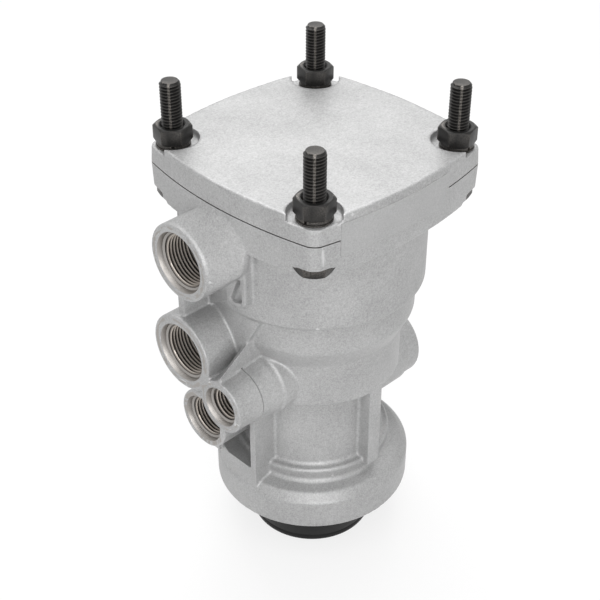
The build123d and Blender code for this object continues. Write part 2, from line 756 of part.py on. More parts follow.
def clamp_bolts():
    """Hexagon bolts from under the flange, their threaded ends standing above the nuts."""
    head = Pos(0, 0, Z_LUG - HEAD_HEIGHT) * hexagon(NUT_FLATS, HEAD_HEIGHT)
    head &= turned(
        (0, Z_LUG),
        (NUT_FLATS, Z_LUG),
        (NUT_FLATS, Z_LUG - HEAD_HEIGHT * 0.2),
        (NUT_FLATS * 0.47, Z_LUG - HEAD_HEIGHT),
        (0, Z_LUG - HEAD_HEIGHT),
    )
    end = disc(STUD_RADIUS, STUD_REACH, 0)
    tip = end.faces().sort_by(Axis.Z)[-1].edges()
    shank = disc(STUD_RADIUS - THREAD_SINK, 0, Z_LUG)
    return at_bolts(head + shank + chamfer(tip, STUD_CHAMFER))


def clamp_nuts():
    """Hexagon nuts with chamfered corners and countersunk threads."""
    corner = NUT_FLATS / math.sqrt(3)
    bore = STUD_RADIUS - THREAD_SINK
    nut = Pos(0, 0, -NUT_HEIGHT) * hexagon(NUT_FLATS, NUT_HEIGHT)
    nut &= turned(
        (bore, 0),
        (NUT_FLATS / 2, 0),
        (corner + 0.2, -(corner + 0.2 - NUT_FLATS / 2) * 0.6),
        (corner + 0.2, -NUT_HEIGHT + (corner + 0.2 - NUT_FLATS / 2) * 0.6),
        (NUT_FLATS / 2, -NUT_HEIGHT),
        (bore, -NUT_HEIGHT),
    )
    nut -= turned((0, 1), (STUD_RADIUS + 1.5, 1), (STUD_RADIUS + 0.6, 0), (bore - 0.2, -1.0), (0, -1.0))
    return at_bolts(nut)


def lock_washers():
    """Split spring washers under the nuts."""
    washer = ring(WASHER_RADIUS, STUD_RADIUS + 0.15, -NUT_HEIGHT, Z_FLOOR)
    split = Rot(0, 0, 20) * block(0, 2 * WASHER_RADIUS, -0.4, 0.4, Z_FLOOR - 1, -NUT_HEIGHT + 1)
    return at_bolts(washer - split)


def cover_seal():
    """Seal ring in the body's groove under the cover."""
    return o_ring(RELAY_BORE + 1.2 + SEAL_SIZE / 2, Z_SPLIT - SEAL_SIZE / 2)


def blank_label():
    """Thin foil over the split line on the label side."""
    low = (Z_SPLIT + 0.5) - LABEL_HEIGHT / 2
    slab = block(LABEL_OFFSET - LABEL_LENGTH / 2, LABEL_OFFSET + LABEL_LENGTH / 2, -SIDE_HALF - 8, -SIDE_HALF + 8,
                 low, low + LABEL_HEIGHT)
    split_half = SIDE_HALF + COVER_HEIGHT * math.tan(math.radians(COVER_DRAFT))
    lift = 0.05
    outside = Plane.XY.offset(low - 1) * crowned_square(split_half + lift + LABEL_THICK)
    inside = Plane.XY.offset(low - 1) * crowned_square(split_half + lift)
    skin = extrude(outside, LABEL_HEIGHT + 2) - extrude(inside, LABEL_HEIGHT + 2)
    return skin & slab


def relay_piston():
    """Dished piston with a seal groove and the hollow stem that carries the outlet seat."""
    top = Z_TOP - COVER_PLATE - RELAY_CROWN_GAP
    outer = RELAY_BORE - SLIDE_GAP
    shoulder = Z_SPLIT - 0.8
    bottom = shoulder - RELAY_SKIRT
    piston = turned(
        (0, top),
        (outer - 3.0, top),
        (outer - 3.0, shoulder),
        (outer, shoulder),
        (outer, bottom),
        (outer - RELAY_SKIRT_WALL, bottom),
        (outer - RELAY_SKIRT_WALL - 1.5, top - RELAY_CROWN),
        (STEM_RADIUS + 3.0, top - RELAY_CROWN),
        (STEM_RADIUS, top - RELAY_CROWN - 8.0),
        (STEM_RADIUS, Z_STEM_END + 2.0),
        (STEM_RADIUS - 1.0, Z_STEM_END),
        (STEM_BORE, Z_STEM_END),
        (STEM_BORE, Z_RELAY_SEAT + 8),
        (0, Z_RELAY_SEAT + 12),
        rounds={1: 1.0, 6: 1.2, 7: 3.0},
    )
    return piston - outer_groove(outer, shoulder - RELAY_SKIRT / 2)


def relay_piston_seal():
    """Seal ring of the relay piston."""
    return outer_seal(RELAY_BORE - SLIDE_GAP, Z_SPLIT - 0.8 - RELAY_SKIRT / 2)


def relay_return_spring():
    """Spring from the bowl's ledge to the relay piston's skirt."""
    outer = RELAY_BORE - SLIDE_GAP
    mean = outer - RELAY_SKIRT_WALL / 2
    bottom = Z_SPLIT - 0.8 - RELAY_SKIRT
    return coil(mean, RELAY_WIRE, RELAY_TURNS, bottom, Z_RELAY_SEAT)


def stop_ring():
    """Snap ring that stops the hand brake piston at the top of its travel."""
    return snap_ring(LAND_BORE, LAND_BORE - 2.4, Z_STOP_RING)


def hand_brake_piston():
    """Stepped hollow piston: inlet seat at the top, windows for supply air and a long guide tube."""
    land = LAND_BORE - SLIDE_GAP
    lower = LOWER_LAND_BORE - SLIDE_GAP
    piston = turned(
        (INLET_SEAT_RADIUS, Z_HAND_TOP - 4.5),
        (INLET_SEAT_RADIUS + 3.0, Z_HAND_TOP - 3.0),
        (land - 3.5, Z_HAND_TOP - 3.0),
        (land - 3.5, Z_HAND_TOP),
        (land, Z_HAND_TOP),
        (land, Z_HAND_SEAT - 1.0),
        (WAIST_RADIUS, Z_HAND_SEAT - 3.0),
        (WAIST_RADIUS, Z_LOWER_LAND + 1.0),
        (lower, Z_LOWER_LAND),
        (lower, Z_LOWER_LAND_END),
        (TUBE_RADIUS, Z_LOWER_LAND_END - 1.0),
        (TUBE_RADIUS, Z_TUBE_END),
        (TUBE_RADIUS - TUBE_WALL, Z_TUBE_END),
        (TUBE_RADIUS - TUBE_WALL, Z_GUIDE),
        (WAIST_RADIUS - WAIST_WALL, Z_LOWER_LAND + 2.4),
        (WAIST_RADIUS - WAIST_WALL, Z_HAND_SEAT + 1.5),
        (INLET_SEAT_RADIUS + 2.7, Z_HAND_SEAT + 1.5),
        (INLET_SEAT_RADIUS + 1.2, Z_HAND_SEAT),
        (INLET_SEAT_RADIUS, Z_HAND_SEAT),
    )
    window_top = Z_HAND_SEAT - 5.5
    window_low = Z_LOWER_LAND + 4.0
    for quarter in range(4):
        window = block(0, WAIST_RADIUS + 2, -8.0, 8.0, window_low, window_top)
        keep = disc(INLET_SEAT_RADIUS + 6.0, window_top + 1, window_low - 1)
        piston -= Rot(0, 0, 45 + 90 * quarter) * (window - keep)
    piston -= outer_groove(land, (Z_HAND_TOP + Z_HAND_SEAT) / 2 - 0.5)
    piston -= outer_groove(lower, (Z_LOWER_LAND + Z_LOWER_LAND_END) / 2)
    return piston - snap_groove(TUBE_RADIUS - TUBE_WALL, Z_GUIDE_END)


def hand_brake_piston_seals():
    """The two seal rings of the hand brake piston."""
    upper = outer_seal(LAND_BORE - SLIDE_GAP, (Z_HAND_TOP + Z_HAND_SEAT) / 2 - 0.5)
    lower = outer_seal(LOWER_LAND_BORE - SLIDE_GAP, (Z_LOWER_LAND + Z_LOWER_LAND_END) / 2)
    return [upper, lower]


def hand_brake_spring():
    """Spring that holds the hand brake piston up."""
    mean = (TUBE_RADIUS + LOWER_BORE) / 2
    return coil(mean, HAND_WIRE, HAND_TURNS, Z_LOWER_LAND_END - 1.0, Z_INSERT)


def valve_sleeve():
    """Hollow double valve: a head with a rubber face on a long tube."""
    low = Z_FACE - VALVE_HEAD_THICK
    sleeve = turned(
        (VALVE_TUBE_BORE, Z_FACE - FACE_THICK),
        (VALVE_HEAD_RADIUS - 0.6, Z_FACE - FACE_THICK),
        (VALVE_HEAD_RADIUS - 0.6, Z_FACE - 0.2),
        (VALVE_HEAD_RADIUS, Z_FACE - 0.2),
        (VALVE_HEAD_RADIUS, low),
        (VALVE_TUBE_RADIUS + 1.0, low),
        (VALVE_TUBE_RADIUS, low - 2.0),
        (VALVE_TUBE_RADIUS, Z_VALVE_END),
        (VALVE_TUBE_BORE, Z_VALVE_END),
    )
    return sleeve


def valve_face():
    """Rubber ring that closes on both seats."""
    return ring(VALVE_HEAD_RADIUS - 0.6, VALVE_TUBE_BORE, Z_FACE, Z_FACE - FACE_THICK)


def valve_spring():
    """Spring between the guide and the valve's head."""
    mean = VALVE_TUBE_RADIUS + 1.0 + VALVE_WIRE
    return coil(mean, VALVE_WIRE, VALVE_TURNS, Z_FACE - VALVE_HEAD_THICK, Z_GUIDE)


def valve_guide():
    """Bush in the hand brake piston that carries the valve's tube."""
    outer = TUBE_RADIUS - TUBE_WALL
    inner = VALVE_TUBE_RADIUS + SLIDE_GAP
    bush = ring(outer, inner, Z_GUIDE, Z_GUIDE_END)
    middle = (Z_GUIDE + Z_GUIDE_END) / 2
    groove = ring(inner + SEAL_SIZE - SLIDE_GAP, inner - 1, middle + SEAL_SIZE / 2, middle - SEAL_SIZE / 2)
    return bush - groove


def valve_guide_seal():
    """Seal ring in the guide, round the valve's tube."""
    middle = (Z_GUIDE + Z_GUIDE_END) / 2
    return o_ring(VALVE_TUBE_RADIUS + SEAL_SIZE / 2 + SEAL_EASE, middle)


def valve_guide_ring():
    """Snap ring under the guide."""
    bore = TUBE_RADIUS - TUBE_WALL
    return snap_ring(bore, VALVE_TUBE_RADIUS + 1.2, Z_GUIDE_END, at_mouth=90)


def guide_insert():
    """Bush fixed in the lower bore, round the hand brake piston's tube."""
    outer = INSERT_BORE - SEAL_EASE
    inner = TUBE_RADIUS + SLIDE_GAP
    middle = (Z_INSERT + Z_INSERT_END) / 2
    bush = ring(outer, inner, Z_INSERT, Z_INSERT_END)
    bush -= ring(outer + 1, outer - SEAL_SIZE + SEAL_EASE, middle + SEAL_SIZE / 2, middle - SEAL_SIZE / 2)
    bush -= ring(inner + SEAL_SIZE - SLIDE_GAP, inner - 1, middle + SEAL_SIZE / 2, middle - SEAL_SIZE / 2)
    return bush


def guide_insert_outer_seal():
    """Seal ring between the insert and the casting."""
    middle = (Z_INSERT + Z_INSERT_END) / 2
    return o_ring(INSERT_BORE - SEAL_SIZE / 2, middle)


def guide_insert_inner_seal():
    """Seal ring between the insert and the hand brake piston's tube."""
    middle = (Z_INSERT + Z_INSERT_END) / 2
    return o_ring(TUBE_RADIUS + SEAL_SIZE / 2 + SEAL_EASE, middle)


def guide_insert_ring():
    """Snap ring under the insert."""
    return snap_ring(INSERT_BORE, INSERT_BORE - 3.0, Z_INSERT_END, at_mouth=180)


def bottom_plate():
    """Exhaust plate in the base, with its outlet neck, three spokes and hub."""
    outer = PLATE_BORE - SEAL_EASE
    middle = (Z_PLATE + Z_PLATE_END) / 2
    plate = turned(
        (EXHAUST_BORE, Z_PLATE),
        (outer, Z_PLATE),
        (outer, Z_PLATE_END),
        (EXHAUST_NECK_RADIUS, Z_PLATE_END),
        (EXHAUST_NECK_RADIUS, Z_NECK_END),
        (EXHAUST_BORE, Z_NECK_END),
    )
    plate -= ring(outer + 1, outer - SEAL_SIZE + SEAL_EASE, middle + SEAL_SIZE / 2, middle - SEAL_SIZE / 2)
    for third in range(3):
        spoke = block(0, EXHAUST_BORE + 1, -SPOKE_WIDTH / 2, SPOKE_WIDTH / 2, Z_NECK_END, Z_NECK_END + 3.0)
        plate += Rot(0, 0, 90 + 120 * third) * spoke
    plate += disc(HUB_RADIUS, Z_NECK_END + 4.0, Z_NECK_END)
    return plate - disc(STEM_BUTTON + SEAL_EASE, Z_NECK_END + 5.0, Z_NECK_END - 1.0)


def bottom_plate_seal():
    """Seal ring of the bottom plate."""
    return o_ring(PLATE_BORE - SEAL_SIZE / 2, (Z_PLATE + Z_PLATE_END) / 2)


def bottom_plate_ring():
    """Snap ring that holds the bottom plate in the base."""
    return snap_ring(PLATE_BORE, PLATE_BORE - 4.0, Z_PLATE_END, at_mouth=60)


def exhaust_foot():
    """Black exhaust ring gripped round the plate's neck, open at the bottom."""
    inner = EXHAUST_NECK_RADIUS
    foot = turned(
        (inner, Z_PLATE_END),
        (FOOT_RADIUS, Z_PLATE_END),
        (FOOT_RADIUS, Z_FOOT),
        (FOOT_RADIUS - FOOT_LIP, Z_FOOT),
        (FOOT_RADIUS - FOOT_LIP, Z_NECK_END - 1.0),
        (inner, Z_NECK_END - 1.0),
        rounds={2: 0.8, 3: 0.4},
    )
    return foot


def exhaust_flap():
    """Rubber disc that covers the outlet from below."""
    return ring(EXHAUST_BORE + FLAP_LAP, STEM_BUTTON + SEAL_EASE, Z_NECK_END, Z_NECK_END - FLAP_THICK)


def flap_button():
    """Button that holds the flap at its centre."""
    low = Z_NECK_END - FLAP_THICK
    return turned(
        (0, Z_NECK_END + 5.5),
        (STEM_BUTTON, Z_NECK_END + 5.5),
        (STEM_BUTTON, low),
        (HUB_RADIUS, low),
        (HUB_RADIUS, low - 1.2),
        (0, low - 1.2),
        rounds={1: 0.6, 4: 0.8},
    )


NODES = {
    "body_casting": body_casting,
    "top_cover": top_cover,
    "cover_seal": cover_seal,
    "clamp_bolts": clamp_bolts,
    "clamp_nuts": clamp_nuts,
    "lock_washers": lock_washers,
    "blank_label": blank_label,
    "relay_piston": relay_piston,
    "relay_piston_seal": relay_piston_seal,
    "relay_return_spring": relay_return_spring,
    "stop_ring": stop_ring,
    "hand_brake_piston": hand_brake_piston,
    "hand_brake_piston_seals": hand_brake_piston_seals,
    "hand_brake_spring": hand_brake_spring,
    "valve_sleeve": valve_sleeve,
    "valve_face": valve_face,
    "valve_spring": valve_spring,
    "valve_guide": valve_guide,
    "valve_guide_seal": valve_guide_seal,
    "valve_guide_ring": valve_guide_ring,
    "guide_insert": guide_insert,
    "guide_insert_outer_seal": guide_insert_outer_seal,
    "guide_insert_inner_seal": guide_insert_inner_seal,
    "guide_insert_ring": guide_insert_ring,
    "bottom_plate": bottom_plate,
    "bottom_plate_seal": bottom_plate_seal,
    "bottom_plate_ring": bottom_plate_ring,
    "exhaust_foot": exhaust_foot,
    "exhaust_flap": exhaust_flap,
    "flap_button": flap_button,
}


def solids_of(shape):
    """All solids of a shape or of a list of shapes."""
    shapes = shape if isinstance(shape, list) else [shape]
    return [solid for each in shapes for solid in each.solids()]


os.makedirs("parts", exist_ok=True)
for node, make in NODES.items():
    pieces = solids_of(make())
    group = pieces[0] if len(pieces) == 1 else Compound(children=pieces)
    export_step(group, os.path.join("parts", node + ".step"))
    print(node, len(pieces))
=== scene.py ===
"""Looks of a trailer control valve: soft-edged castings, real threads, fasteners, light and camera."""
import logging
import math
from dataclasses import dataclass, field
from enum import Enum
from typing import Any, Callable, Iterable, Sequence

import bmesh
import bpy
import numpy as np
from bpy.types import Material, Mesh, Node, NodeSocket, Object, World
from mathutils import Matrix, Vector


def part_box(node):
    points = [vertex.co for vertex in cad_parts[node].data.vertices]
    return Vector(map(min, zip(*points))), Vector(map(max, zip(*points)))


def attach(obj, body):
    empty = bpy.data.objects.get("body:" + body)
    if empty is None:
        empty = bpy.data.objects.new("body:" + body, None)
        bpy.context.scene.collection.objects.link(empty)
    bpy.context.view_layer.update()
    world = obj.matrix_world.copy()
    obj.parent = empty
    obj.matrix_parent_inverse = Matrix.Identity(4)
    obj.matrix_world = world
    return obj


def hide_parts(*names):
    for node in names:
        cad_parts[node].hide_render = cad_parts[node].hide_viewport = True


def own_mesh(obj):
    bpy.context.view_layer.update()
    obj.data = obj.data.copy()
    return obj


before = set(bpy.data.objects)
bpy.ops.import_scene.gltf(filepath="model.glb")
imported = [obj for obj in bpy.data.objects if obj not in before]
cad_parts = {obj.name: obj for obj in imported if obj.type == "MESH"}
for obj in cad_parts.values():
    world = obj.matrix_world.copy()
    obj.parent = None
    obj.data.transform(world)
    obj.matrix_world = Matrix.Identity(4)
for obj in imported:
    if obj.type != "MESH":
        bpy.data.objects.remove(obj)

LOG = logging.getLogger("valve")
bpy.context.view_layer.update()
MM = 0.001
# How far the castings' points are moved, in millimetres, and the seed of those moves
UNEVEN = 0.008
SEED = 7
Profile = Sequence[tuple[float, float]]
Colour = tuple[float, float, float, float]
Shape = bmesh.types.BMesh


class Cut(Enum):
    """What a machining tool does to a casting."""

    REMOVE = "DIFFERENCE"
    KEEP = "INTERSECT"


class Side(Enum):
    """The two ways that a port can face along X."""

    LEFT = -1
    RIGHT = 1


# Shader maths


class Wire:
    """One number socket, or plain number, that takes part in Python expressions."""

    def __init__(self, graph: "Tree", value: NodeSocket | float) -> None:
        """Keep the graph that new Math nodes go into, and the socket or number itself."""
        self.graph = graph
        self.value = value

    def _math(self, operation: str, *others: "Wire | NodeSocket | float", flip: bool = False) -> "Wire":
        """Add one Math node.

        Args:
            operation: The node's operation.
            others: The other operands.
            flip: Whether this wire comes second.

        Returns:
            The node's result.
        """
        operands = [self.value] + [other.value if isinstance(other, Wire) else other for other in others]
        if flip:
            operands.reverse()
        node = self.graph.node("ShaderNodeMath", {"operation": operation}, dict(enumerate(operands)))
        return Wire(self.graph, node.outputs[0])

    def __add__(self, other: "Wire | float") -> "Wire":
        """Sum."""
        return self._math("ADD", other)

    __radd__ = __add__

    def __sub__(self, other: "Wire | float") -> "Wire":
        """Difference."""
        return self._math("SUBTRACT", other)

    def __rsub__(self, other: "Wire | float") -> "Wire":
        """Difference with this wire second."""
        return self._math("SUBTRACT", other, flip=True)

    def __mul__(self, other: "Wire | float") -> "Wire":
        """Product."""
        return self._math("MULTIPLY", other)

    __rmul__ = __mul__

    def __pow__(self, other: float) -> "Wire":
        """Power."""
        return self._math("POWER", other)

    def swing(self, amount: float) -> "Wire":
        """A noise value's distance from its middle, times an amount."""
        return (self - 0.5) * amount

    def clamped(self) -> "Wire":
        """The value held between zero and one."""
        return self._math("MINIMUM", 1.0)._math("MAXIMUM", 0.0)

    def band(self, low: float, high: float) -> "Wire":
        """The value read from zero at low to one at high.

        Args:
            low: Where the band starts.
            high: Where it ends.

        Returns:
            A value from zero to one.
        """
        return ((self - low) * (1.0 / (high - low))).clamped()


class Tree:
    """A node tree, with short ways to add nodes to it."""

    def __init__(self, owner: Material | World) -> None:
        """Start from the nodes that the owner has by itself."""
        owner.use_nodes = True
        self.tree = owner.node_tree

    def node(self, kind: str, settings: dict[str, Any], inputs: dict[Any, Any]) -> Node:
        """Add a node.

        Args:
            kind: The node's type name.
            settings: Its own settings, set first.
            inputs: Values, wires or sockets for its inputs, by name or number.

        Returns:
            The new node.
        """
        node = self.tree.nodes.new(kind)
        for key, value in settings.items():
            setattr(node, key, value)
        for key, value in inputs.items():
            self.feed(node.inputs[key], value)
        return node

    def feed(self, socket: NodeSocket, value: Any) -> None:
        """Link or set one input socket."""
        if isinstance(value, Wire):
            value = value.value
        if isinstance(value, NodeSocket):
            self.tree.links.new(value, socket)
        else:
            socket.default_value = value

    def direct(self) -> Wire:
        """One where the camera, a mirror or glass looks, zero for scattered light."""
        path = self.node("ShaderNodeLightPath", {}, {})
        seen = [Wire(self, path.outputs[f"Is {kind} Ray"]) for kind in ("Camera", "Glossy", "Transmission")]
        return (seen[0] + seen[1] + seen[2]).clamped()

    def show(self, output: str, factor: Wire, first: Node, second: Node) -> None:
        """Send a mix of two shaders to the output.

        Args:
            output: The output node's name.
            factor: Zero for the first shader, one for the second.
            first: A shader node.
            second: A shader node.
        """
        blend = self.node("ShaderNodeMixShader", {}, {0: factor, 1: first.outputs[0], 2: second.outputs[0]})
        self.feed(self.tree.nodes[output].inputs["Surface"], blend.outputs[0])


class Graph(Tree):
    """The node tree of one new material."""

    def __init__(self, name: str) -> None:
        """Start a material with its shader and output."""
        self.material: Material = bpy.data.materials.new(name)
        super().__init__(self.material)
        self.shader = self.tree.nodes["Principled BSDF"]
        self.place = self.node("ShaderNodeTexCoord", {}, {}).outputs["Object"]

    def noise(self, scale: float, detail: float = 2.0, rough: float = 0.5) -> Wire:
        """Soft noise over the object.

        Args:
            scale: Features per metre.
            detail: Octaves.
            rough: How strong the finer octaves are.

        Returns:
            A value around one half.
        """
        inputs = {"Vector": self.place, "Scale": scale, "Detail": detail, "Roughness": rough}
        return Wire(self, self.node("ShaderNodeTexNoise", {"noise_dimensions": "3D"}, inputs).outputs["Fac"])

    def edges(self, low: float, high: float) -> Wire:
        """How far the surface bends outwards, from zero at low to one at high."""
        node = self.node("ShaderNodeNewGeometry", {}, {})
        return Wire(self, node.outputs["Pointiness"]).band(low, high)

    def mix(self, factor: Wire | float, first: Any, second: Any) -> NodeSocket:
        """A colour between two colours.

        Args:
            factor: Zero for the first, one for the second.
            first: A colour or a colour socket.
            second: A colour or a colour socket.

        Returns:
            The mixed colour's socket.
        """
        node = self.node("ShaderNodeMix", {"data_type": "RGBA"}, {"Factor": factor, 6: first, 7: second})
        return node.outputs[2]

    def bump(self, height: Wire, strength: float, distance: float) -> NodeSocket:
        """A bumped normal.

        Args:
            height: The height, zero to one.
            strength: How much of the bump shows.
            distance: The height of one, in metres.

        Returns:
            The new normal's socket.
        """
        inputs = {"Height": height, "Strength": strength, "Distance": distance}
        return self.node("ShaderNodeBump", {}, inputs).outputs["Normal"]

    def finish(self, **inputs: Any) -> Material:
        """Feed the shader.

        Args:
            inputs: Values or links by socket name, with underscores for spaces.

        Returns:
            The finished material.
        """
        for key, value in inputs.items():
            self.feed(self.shader.inputs[key.replace("_", " ")], value)
        return self.material


def grey(value: float, warm: float = 0.0) -> Colour:
    """A neutral colour, a little warmer or cooler."""
    return (value * (1 + warm), value, value * (1 - warm), 1.0)


# Finishes


@dataclass(frozen=True)
class Layer:
    """One layer of noise, and how strongly it moves a finish's tone, roughness and height."""

    scale: float
    tone: float = 0.0
    rough: float = 0.0
    height: float = 0.0
    detail: float = 2.0
    fineness: float = 0.5


@dataclass(frozen=True)
class EdgeHighlightAndWear:
    """Edges painted bright, as a painted highlight along the ridges and partly as rubbed wear: which bends
    count, their colour, how much shows and how much smoother they are.
    """

    band: tuple[float, float]
    colour: Colour
    cover: float
    polish: float


@dataclass(frozen=True)
class Finish:
    """A finish between a dark and a light colour that follows its layers of noise."""

    name: str
    dark: Colour
    light: Colour
    roughness: float
    layers: tuple[Layer, ...]
    metallic: float = 0.0
    gloss: float = 0.5
    middle: float = 0.5
    bump: float = 0.0
    bump_height: float = 0.0
    edge_highlight_and_wear: EdgeHighlightAndWear | None = None
    patches: tuple[float, float] | None = None

    def build(self) -> Material:
        """The finish as a material; where it has patches, its first layer breaks the painted edge highlight and
        wear up.
        """
        graph = Graph(self.name)
        noises = [(layer, graph.noise(layer.scale, layer.detail, layer.fineness)) for layer in self.layers]
        tone = sum(noise.swing(layer.tone) for layer, noise in noises if layer.tone) + self.middle
        colour = graph.mix(tone.clamped(), self.dark, self.light)
        rough = sum(noise.swing(layer.rough) for layer, noise in noises if layer.rough) + self.roughness
        if self.edge_highlight_and_wear:
            edge = graph.edges(*self.edge_highlight_and_wear.band)
            if self.patches:
                edge = edge * noises[0][1].band(*self.patches)
            # Painted highlight, partly rubbed wear: outward-bending edges are mixed towards a lighter colour
            # and made smoother.
            colour = graph.mix(edge * self.edge_highlight_and_wear.cover, colour, self.edge_highlight_and_wear.colour)
            rough = rough - edge * self.edge_highlight_and_wear.polish
        relief = {}
        if self.bump:
            height = sum(noise * layer.height for layer, noise in noises if layer.height)
            relief["Normal"] = graph.bump(height, self.bump, self.bump_height * MM)
        return graph.finish(Base_Color=colour, Roughness=rough, Metallic=self.metallic,
                            Specular_IOR_Level=self.gloss, **relief)


SOFT_LAYERS = (Layer(2100.0, tone=0.3, rough=0.2, height=1.0), Layer(180.0, tone=0.7))
BLASTED = Finish(
    "cast_aluminium", grey(0.26), grey(0.52), 0.47,
    (
        Layer(1700.0, tone=1.3, rough=0.12, height=0.7, fineness=0.6),
        Layer(42.0, tone=0.6),
        Layer(620.0, tone=0.5, rough=0.14, height=0.6, detail=3.0, fineness=0.55),
    ),
    # Edges painted lighter grey: a painted highlight along the ridges, partly rubbed wear.
    metallic=0.45, bump=0.8, bump_height=0.07, edge_highlight_and_wear=EdgeHighlightAndWear((0.528, 0.60), grey(0.60), 0.8, 0.08),
)
TURNED = Finish(
    "turned_aluminium", grey(0.2952, 0.05), grey(0.3888, 0.05), 0.44,
    (Layer(2600.0, tone=0.4, rough=0.2, height=1.0), Layer(160.0, tone=0.6)),
    metallic=1.0, bump=0.25, bump_height=0.012,
)
BLACK_STEEL = Finish(
    "black_steel", grey(0.012), grey(0.034, 0.04), 0.38,
    (Layer(1900.0, tone=0.6, rough=0.3, height=1.0, detail=3.0, fineness=0.6), Layer(260.0, tone=0.4)),
    metallic=0.5, gloss=0.25, bump=0.3, bump_height=0.015,
    # Edges and chamfers painted lighter in patches: painted glints, partly rubbed wear.
    edge_highlight_and_wear=EdgeHighlightAndWear((0.52, 0.60), grey(0.20, 0.08), 1.0, 0.1), patches=(0.25, 0.6),
)
SPRING_STEEL = Finish(
    "spring_steel", grey(0.44), grey(0.605), 0.30, (Layer(1400.0, tone=1.0, rough=0.2),), metallic=1.0,
)
BRASS = Finish(
    "brass", (0.72, 0.52, 0.24, 1.0), (0.50, 0.36, 0.16, 1.0), 0.295, (Layer(1800.0, tone=0.5, rough=0.15),),
    metallic=1.0, middle=0.25,
)
RUBBER = Finish(
    "seal_rubber", grey(0.0154), grey(0.0297), 0.62, SOFT_LAYERS, gloss=0.2, bump=0.25, bump_height=0.02,
)
PLASTIC = Finish(
    "black_plastic", grey(0.0049), grey(0.00945), 0.42, SOFT_LAYERS, gloss=0.2, bump=0.25, bump_height=0.012,
)
FOIL = Finish(
    "label_foil", grey(0.312), grey(0.48), 0.5,
    (Layer(1700.0, tone=1.3, rough=0.15, height=1.0, fineness=0.6), Layer(60.0, tone=0.4)),
    metallic=0.45, bump=0.5, bump_height=0.03,
)


@dataclass(frozen=True)
class CutThread:
    """Threads cut into the casting, coloured by height: painted highlight on the warm bright crests, painted
    shade in the dark roots.
    """

    name: str = "cut_thread"
    # crest is a painted highlight colour, root a painted shade colour
    crest: Colour = (0.66, 0.60, 0.54, 1.0)
    root: Colour = (0.045, 0.04, 0.037, 1.0)
    contrast: float = 1.6
    speck_scale: float = 1500.0
    speck_tone: float = 0.25
    speck_rough: float = 0.2
    roughness: float = 0.40
    metallic: float = 0.9

    def build(self) -> Material:
        """The finish as a material."""
        graph = Graph(self.name)
        height = Wire(graph, graph.node("ShaderNodeAttribute", {"attribute_name": "crest"}, {}).outputs["Fac"])
        speck = graph.noise(self.speck_scale, rough=0.6)
        # Painted light: the roots are darkened as painted shade, the crests lightened as painted highlight.
        tone = (height ** self.contrast + speck.swing(self.speck_tone)).clamped()
        return graph.finish(Base_Color=graph.mix(tone, self.root, self.crest),
                            Roughness=speck.swing(self.speck_rough) + self.roughness, Metallic=self.metallic)


@dataclass(frozen=True)
class Finishes:
    """Every finish of the valve, built once."""

    cast: Material = field(default_factory=BLASTED.build)
    turned: Material = field(default_factory=TURNED.build)
    thread: Material = field(default_factory=CutThread().build)
    black: Material = field(default_factory=BLACK_STEEL.build)
    spring: Material = field(default_factory=SPRING_STEEL.build)
    brass: Material = field(default_factory=BRASS.build)
    rubber: Material = field(default_factory=RUBBER.build)
    plastic: Material = field(default_factory=PLASTIC.build)
    foil: Material = field(default_factory=FOIL.build)


# Mesh tools


def as_object(name: str, shape: Shape, materials: Iterable[Material] = ()) -> Object:
    """Turn a finished bmesh, in millimetres, into a linked object in metres.

    Args:
        name: The piece's name.
        shape: The mesh; it is freed.
        materials: Its material slots, in order.

    Returns:
        The object, at the origin.
    """
    bmesh.ops.scale(shape, vec=(MM, MM, MM), verts=shape.verts)
    mesh: Mesh = bpy.data.meshes.new(name)
    shape.to_mesh(mesh)
    shape.free()
    for material in materials:
        mesh.materials.append(material)
    piece = bpy.data.objects.new(name, mesh)
    bpy.context.scene.collection.objects.link(piece)
    return piece


def revolve(profile: Profile, steps: int = 128, arc: float = math.tau) -> Shape:
    """Spin a closed outline of (radius, level) corners about Z.

    Args:
        profile: The corners, in order round the section.
        steps: Facets round the turn.
        arc: The angle turned through.

    Returns:
        A closed bmesh in millimetres.
    """
    shape = bmesh.new()
    section = shape.faces.new([shape.verts.new((radius, 0.0, level)) for radius, level in profile])
    whole = abs(arc - math.tau) < 1e-6
    if whole:
        bmesh.ops.delete(shape, geom=[section], context="FACES_ONLY")
    geometry = list(shape.verts) + list(shape.edges) + list(shape.faces)
    bmesh.ops.spin(shape, geom=geometry, cent=(0, 0, 0), axis=(0, 0, 1), angle=arc, steps=steps,
                   use_merge=whole)
    bmesh.ops.remove_doubles(shape, verts=shape.verts, dist=1e-4)
    bmesh.ops.dissolve_degenerate(shape, edges=shape.edges, dist=1e-5)
    bmesh.ops.recalc_face_normals(shape, faces=shape.faces)
    return shape


def rod(radius: float, high: float, low: float, steps: int = 48) -> Shape:
    """An upright cylinder between two levels."""
    return revolve([(0.0, high), (radius, high), (radius, low), (0.0, low)], steps)


def stepped(radius: float, steps: Profile) -> Shape:
    """A turned solid whose outline is given as steps from a radius, and levels."""
    outline = [(radius + rise, level) for rise, level in steps]
    return revolve([(0.0, outline[0][1]), *outline, (0.0, outline[-1][1])], 96)


def tube(inner: float, outer: float, low: float, high: float, steps: int, arc: float = math.tau) -> Shape:
    """An upright ring between two radii and two levels."""
    return revolve([(inner, low), (outer, low), (outer, high), (inner, high)], steps, arc)


def moved(shape: Shape, place: Matrix) -> Shape:
    """The bmesh after a transform."""
    bmesh.ops.transform(shape, matrix=place, verts=shape.verts)
    return shape


def merged(shapes: Iterable[Shape]) -> Shape:
    """Several bmeshes as one; the originals are freed."""
    whole = bmesh.new()
    for shape in shapes:
        mesh = bpy.data.meshes.new("part")
        shape.to_mesh(mesh)
        shape.free()
        whole.from_mesh(mesh)
        bpy.data.meshes.remove(mesh)
    return whole


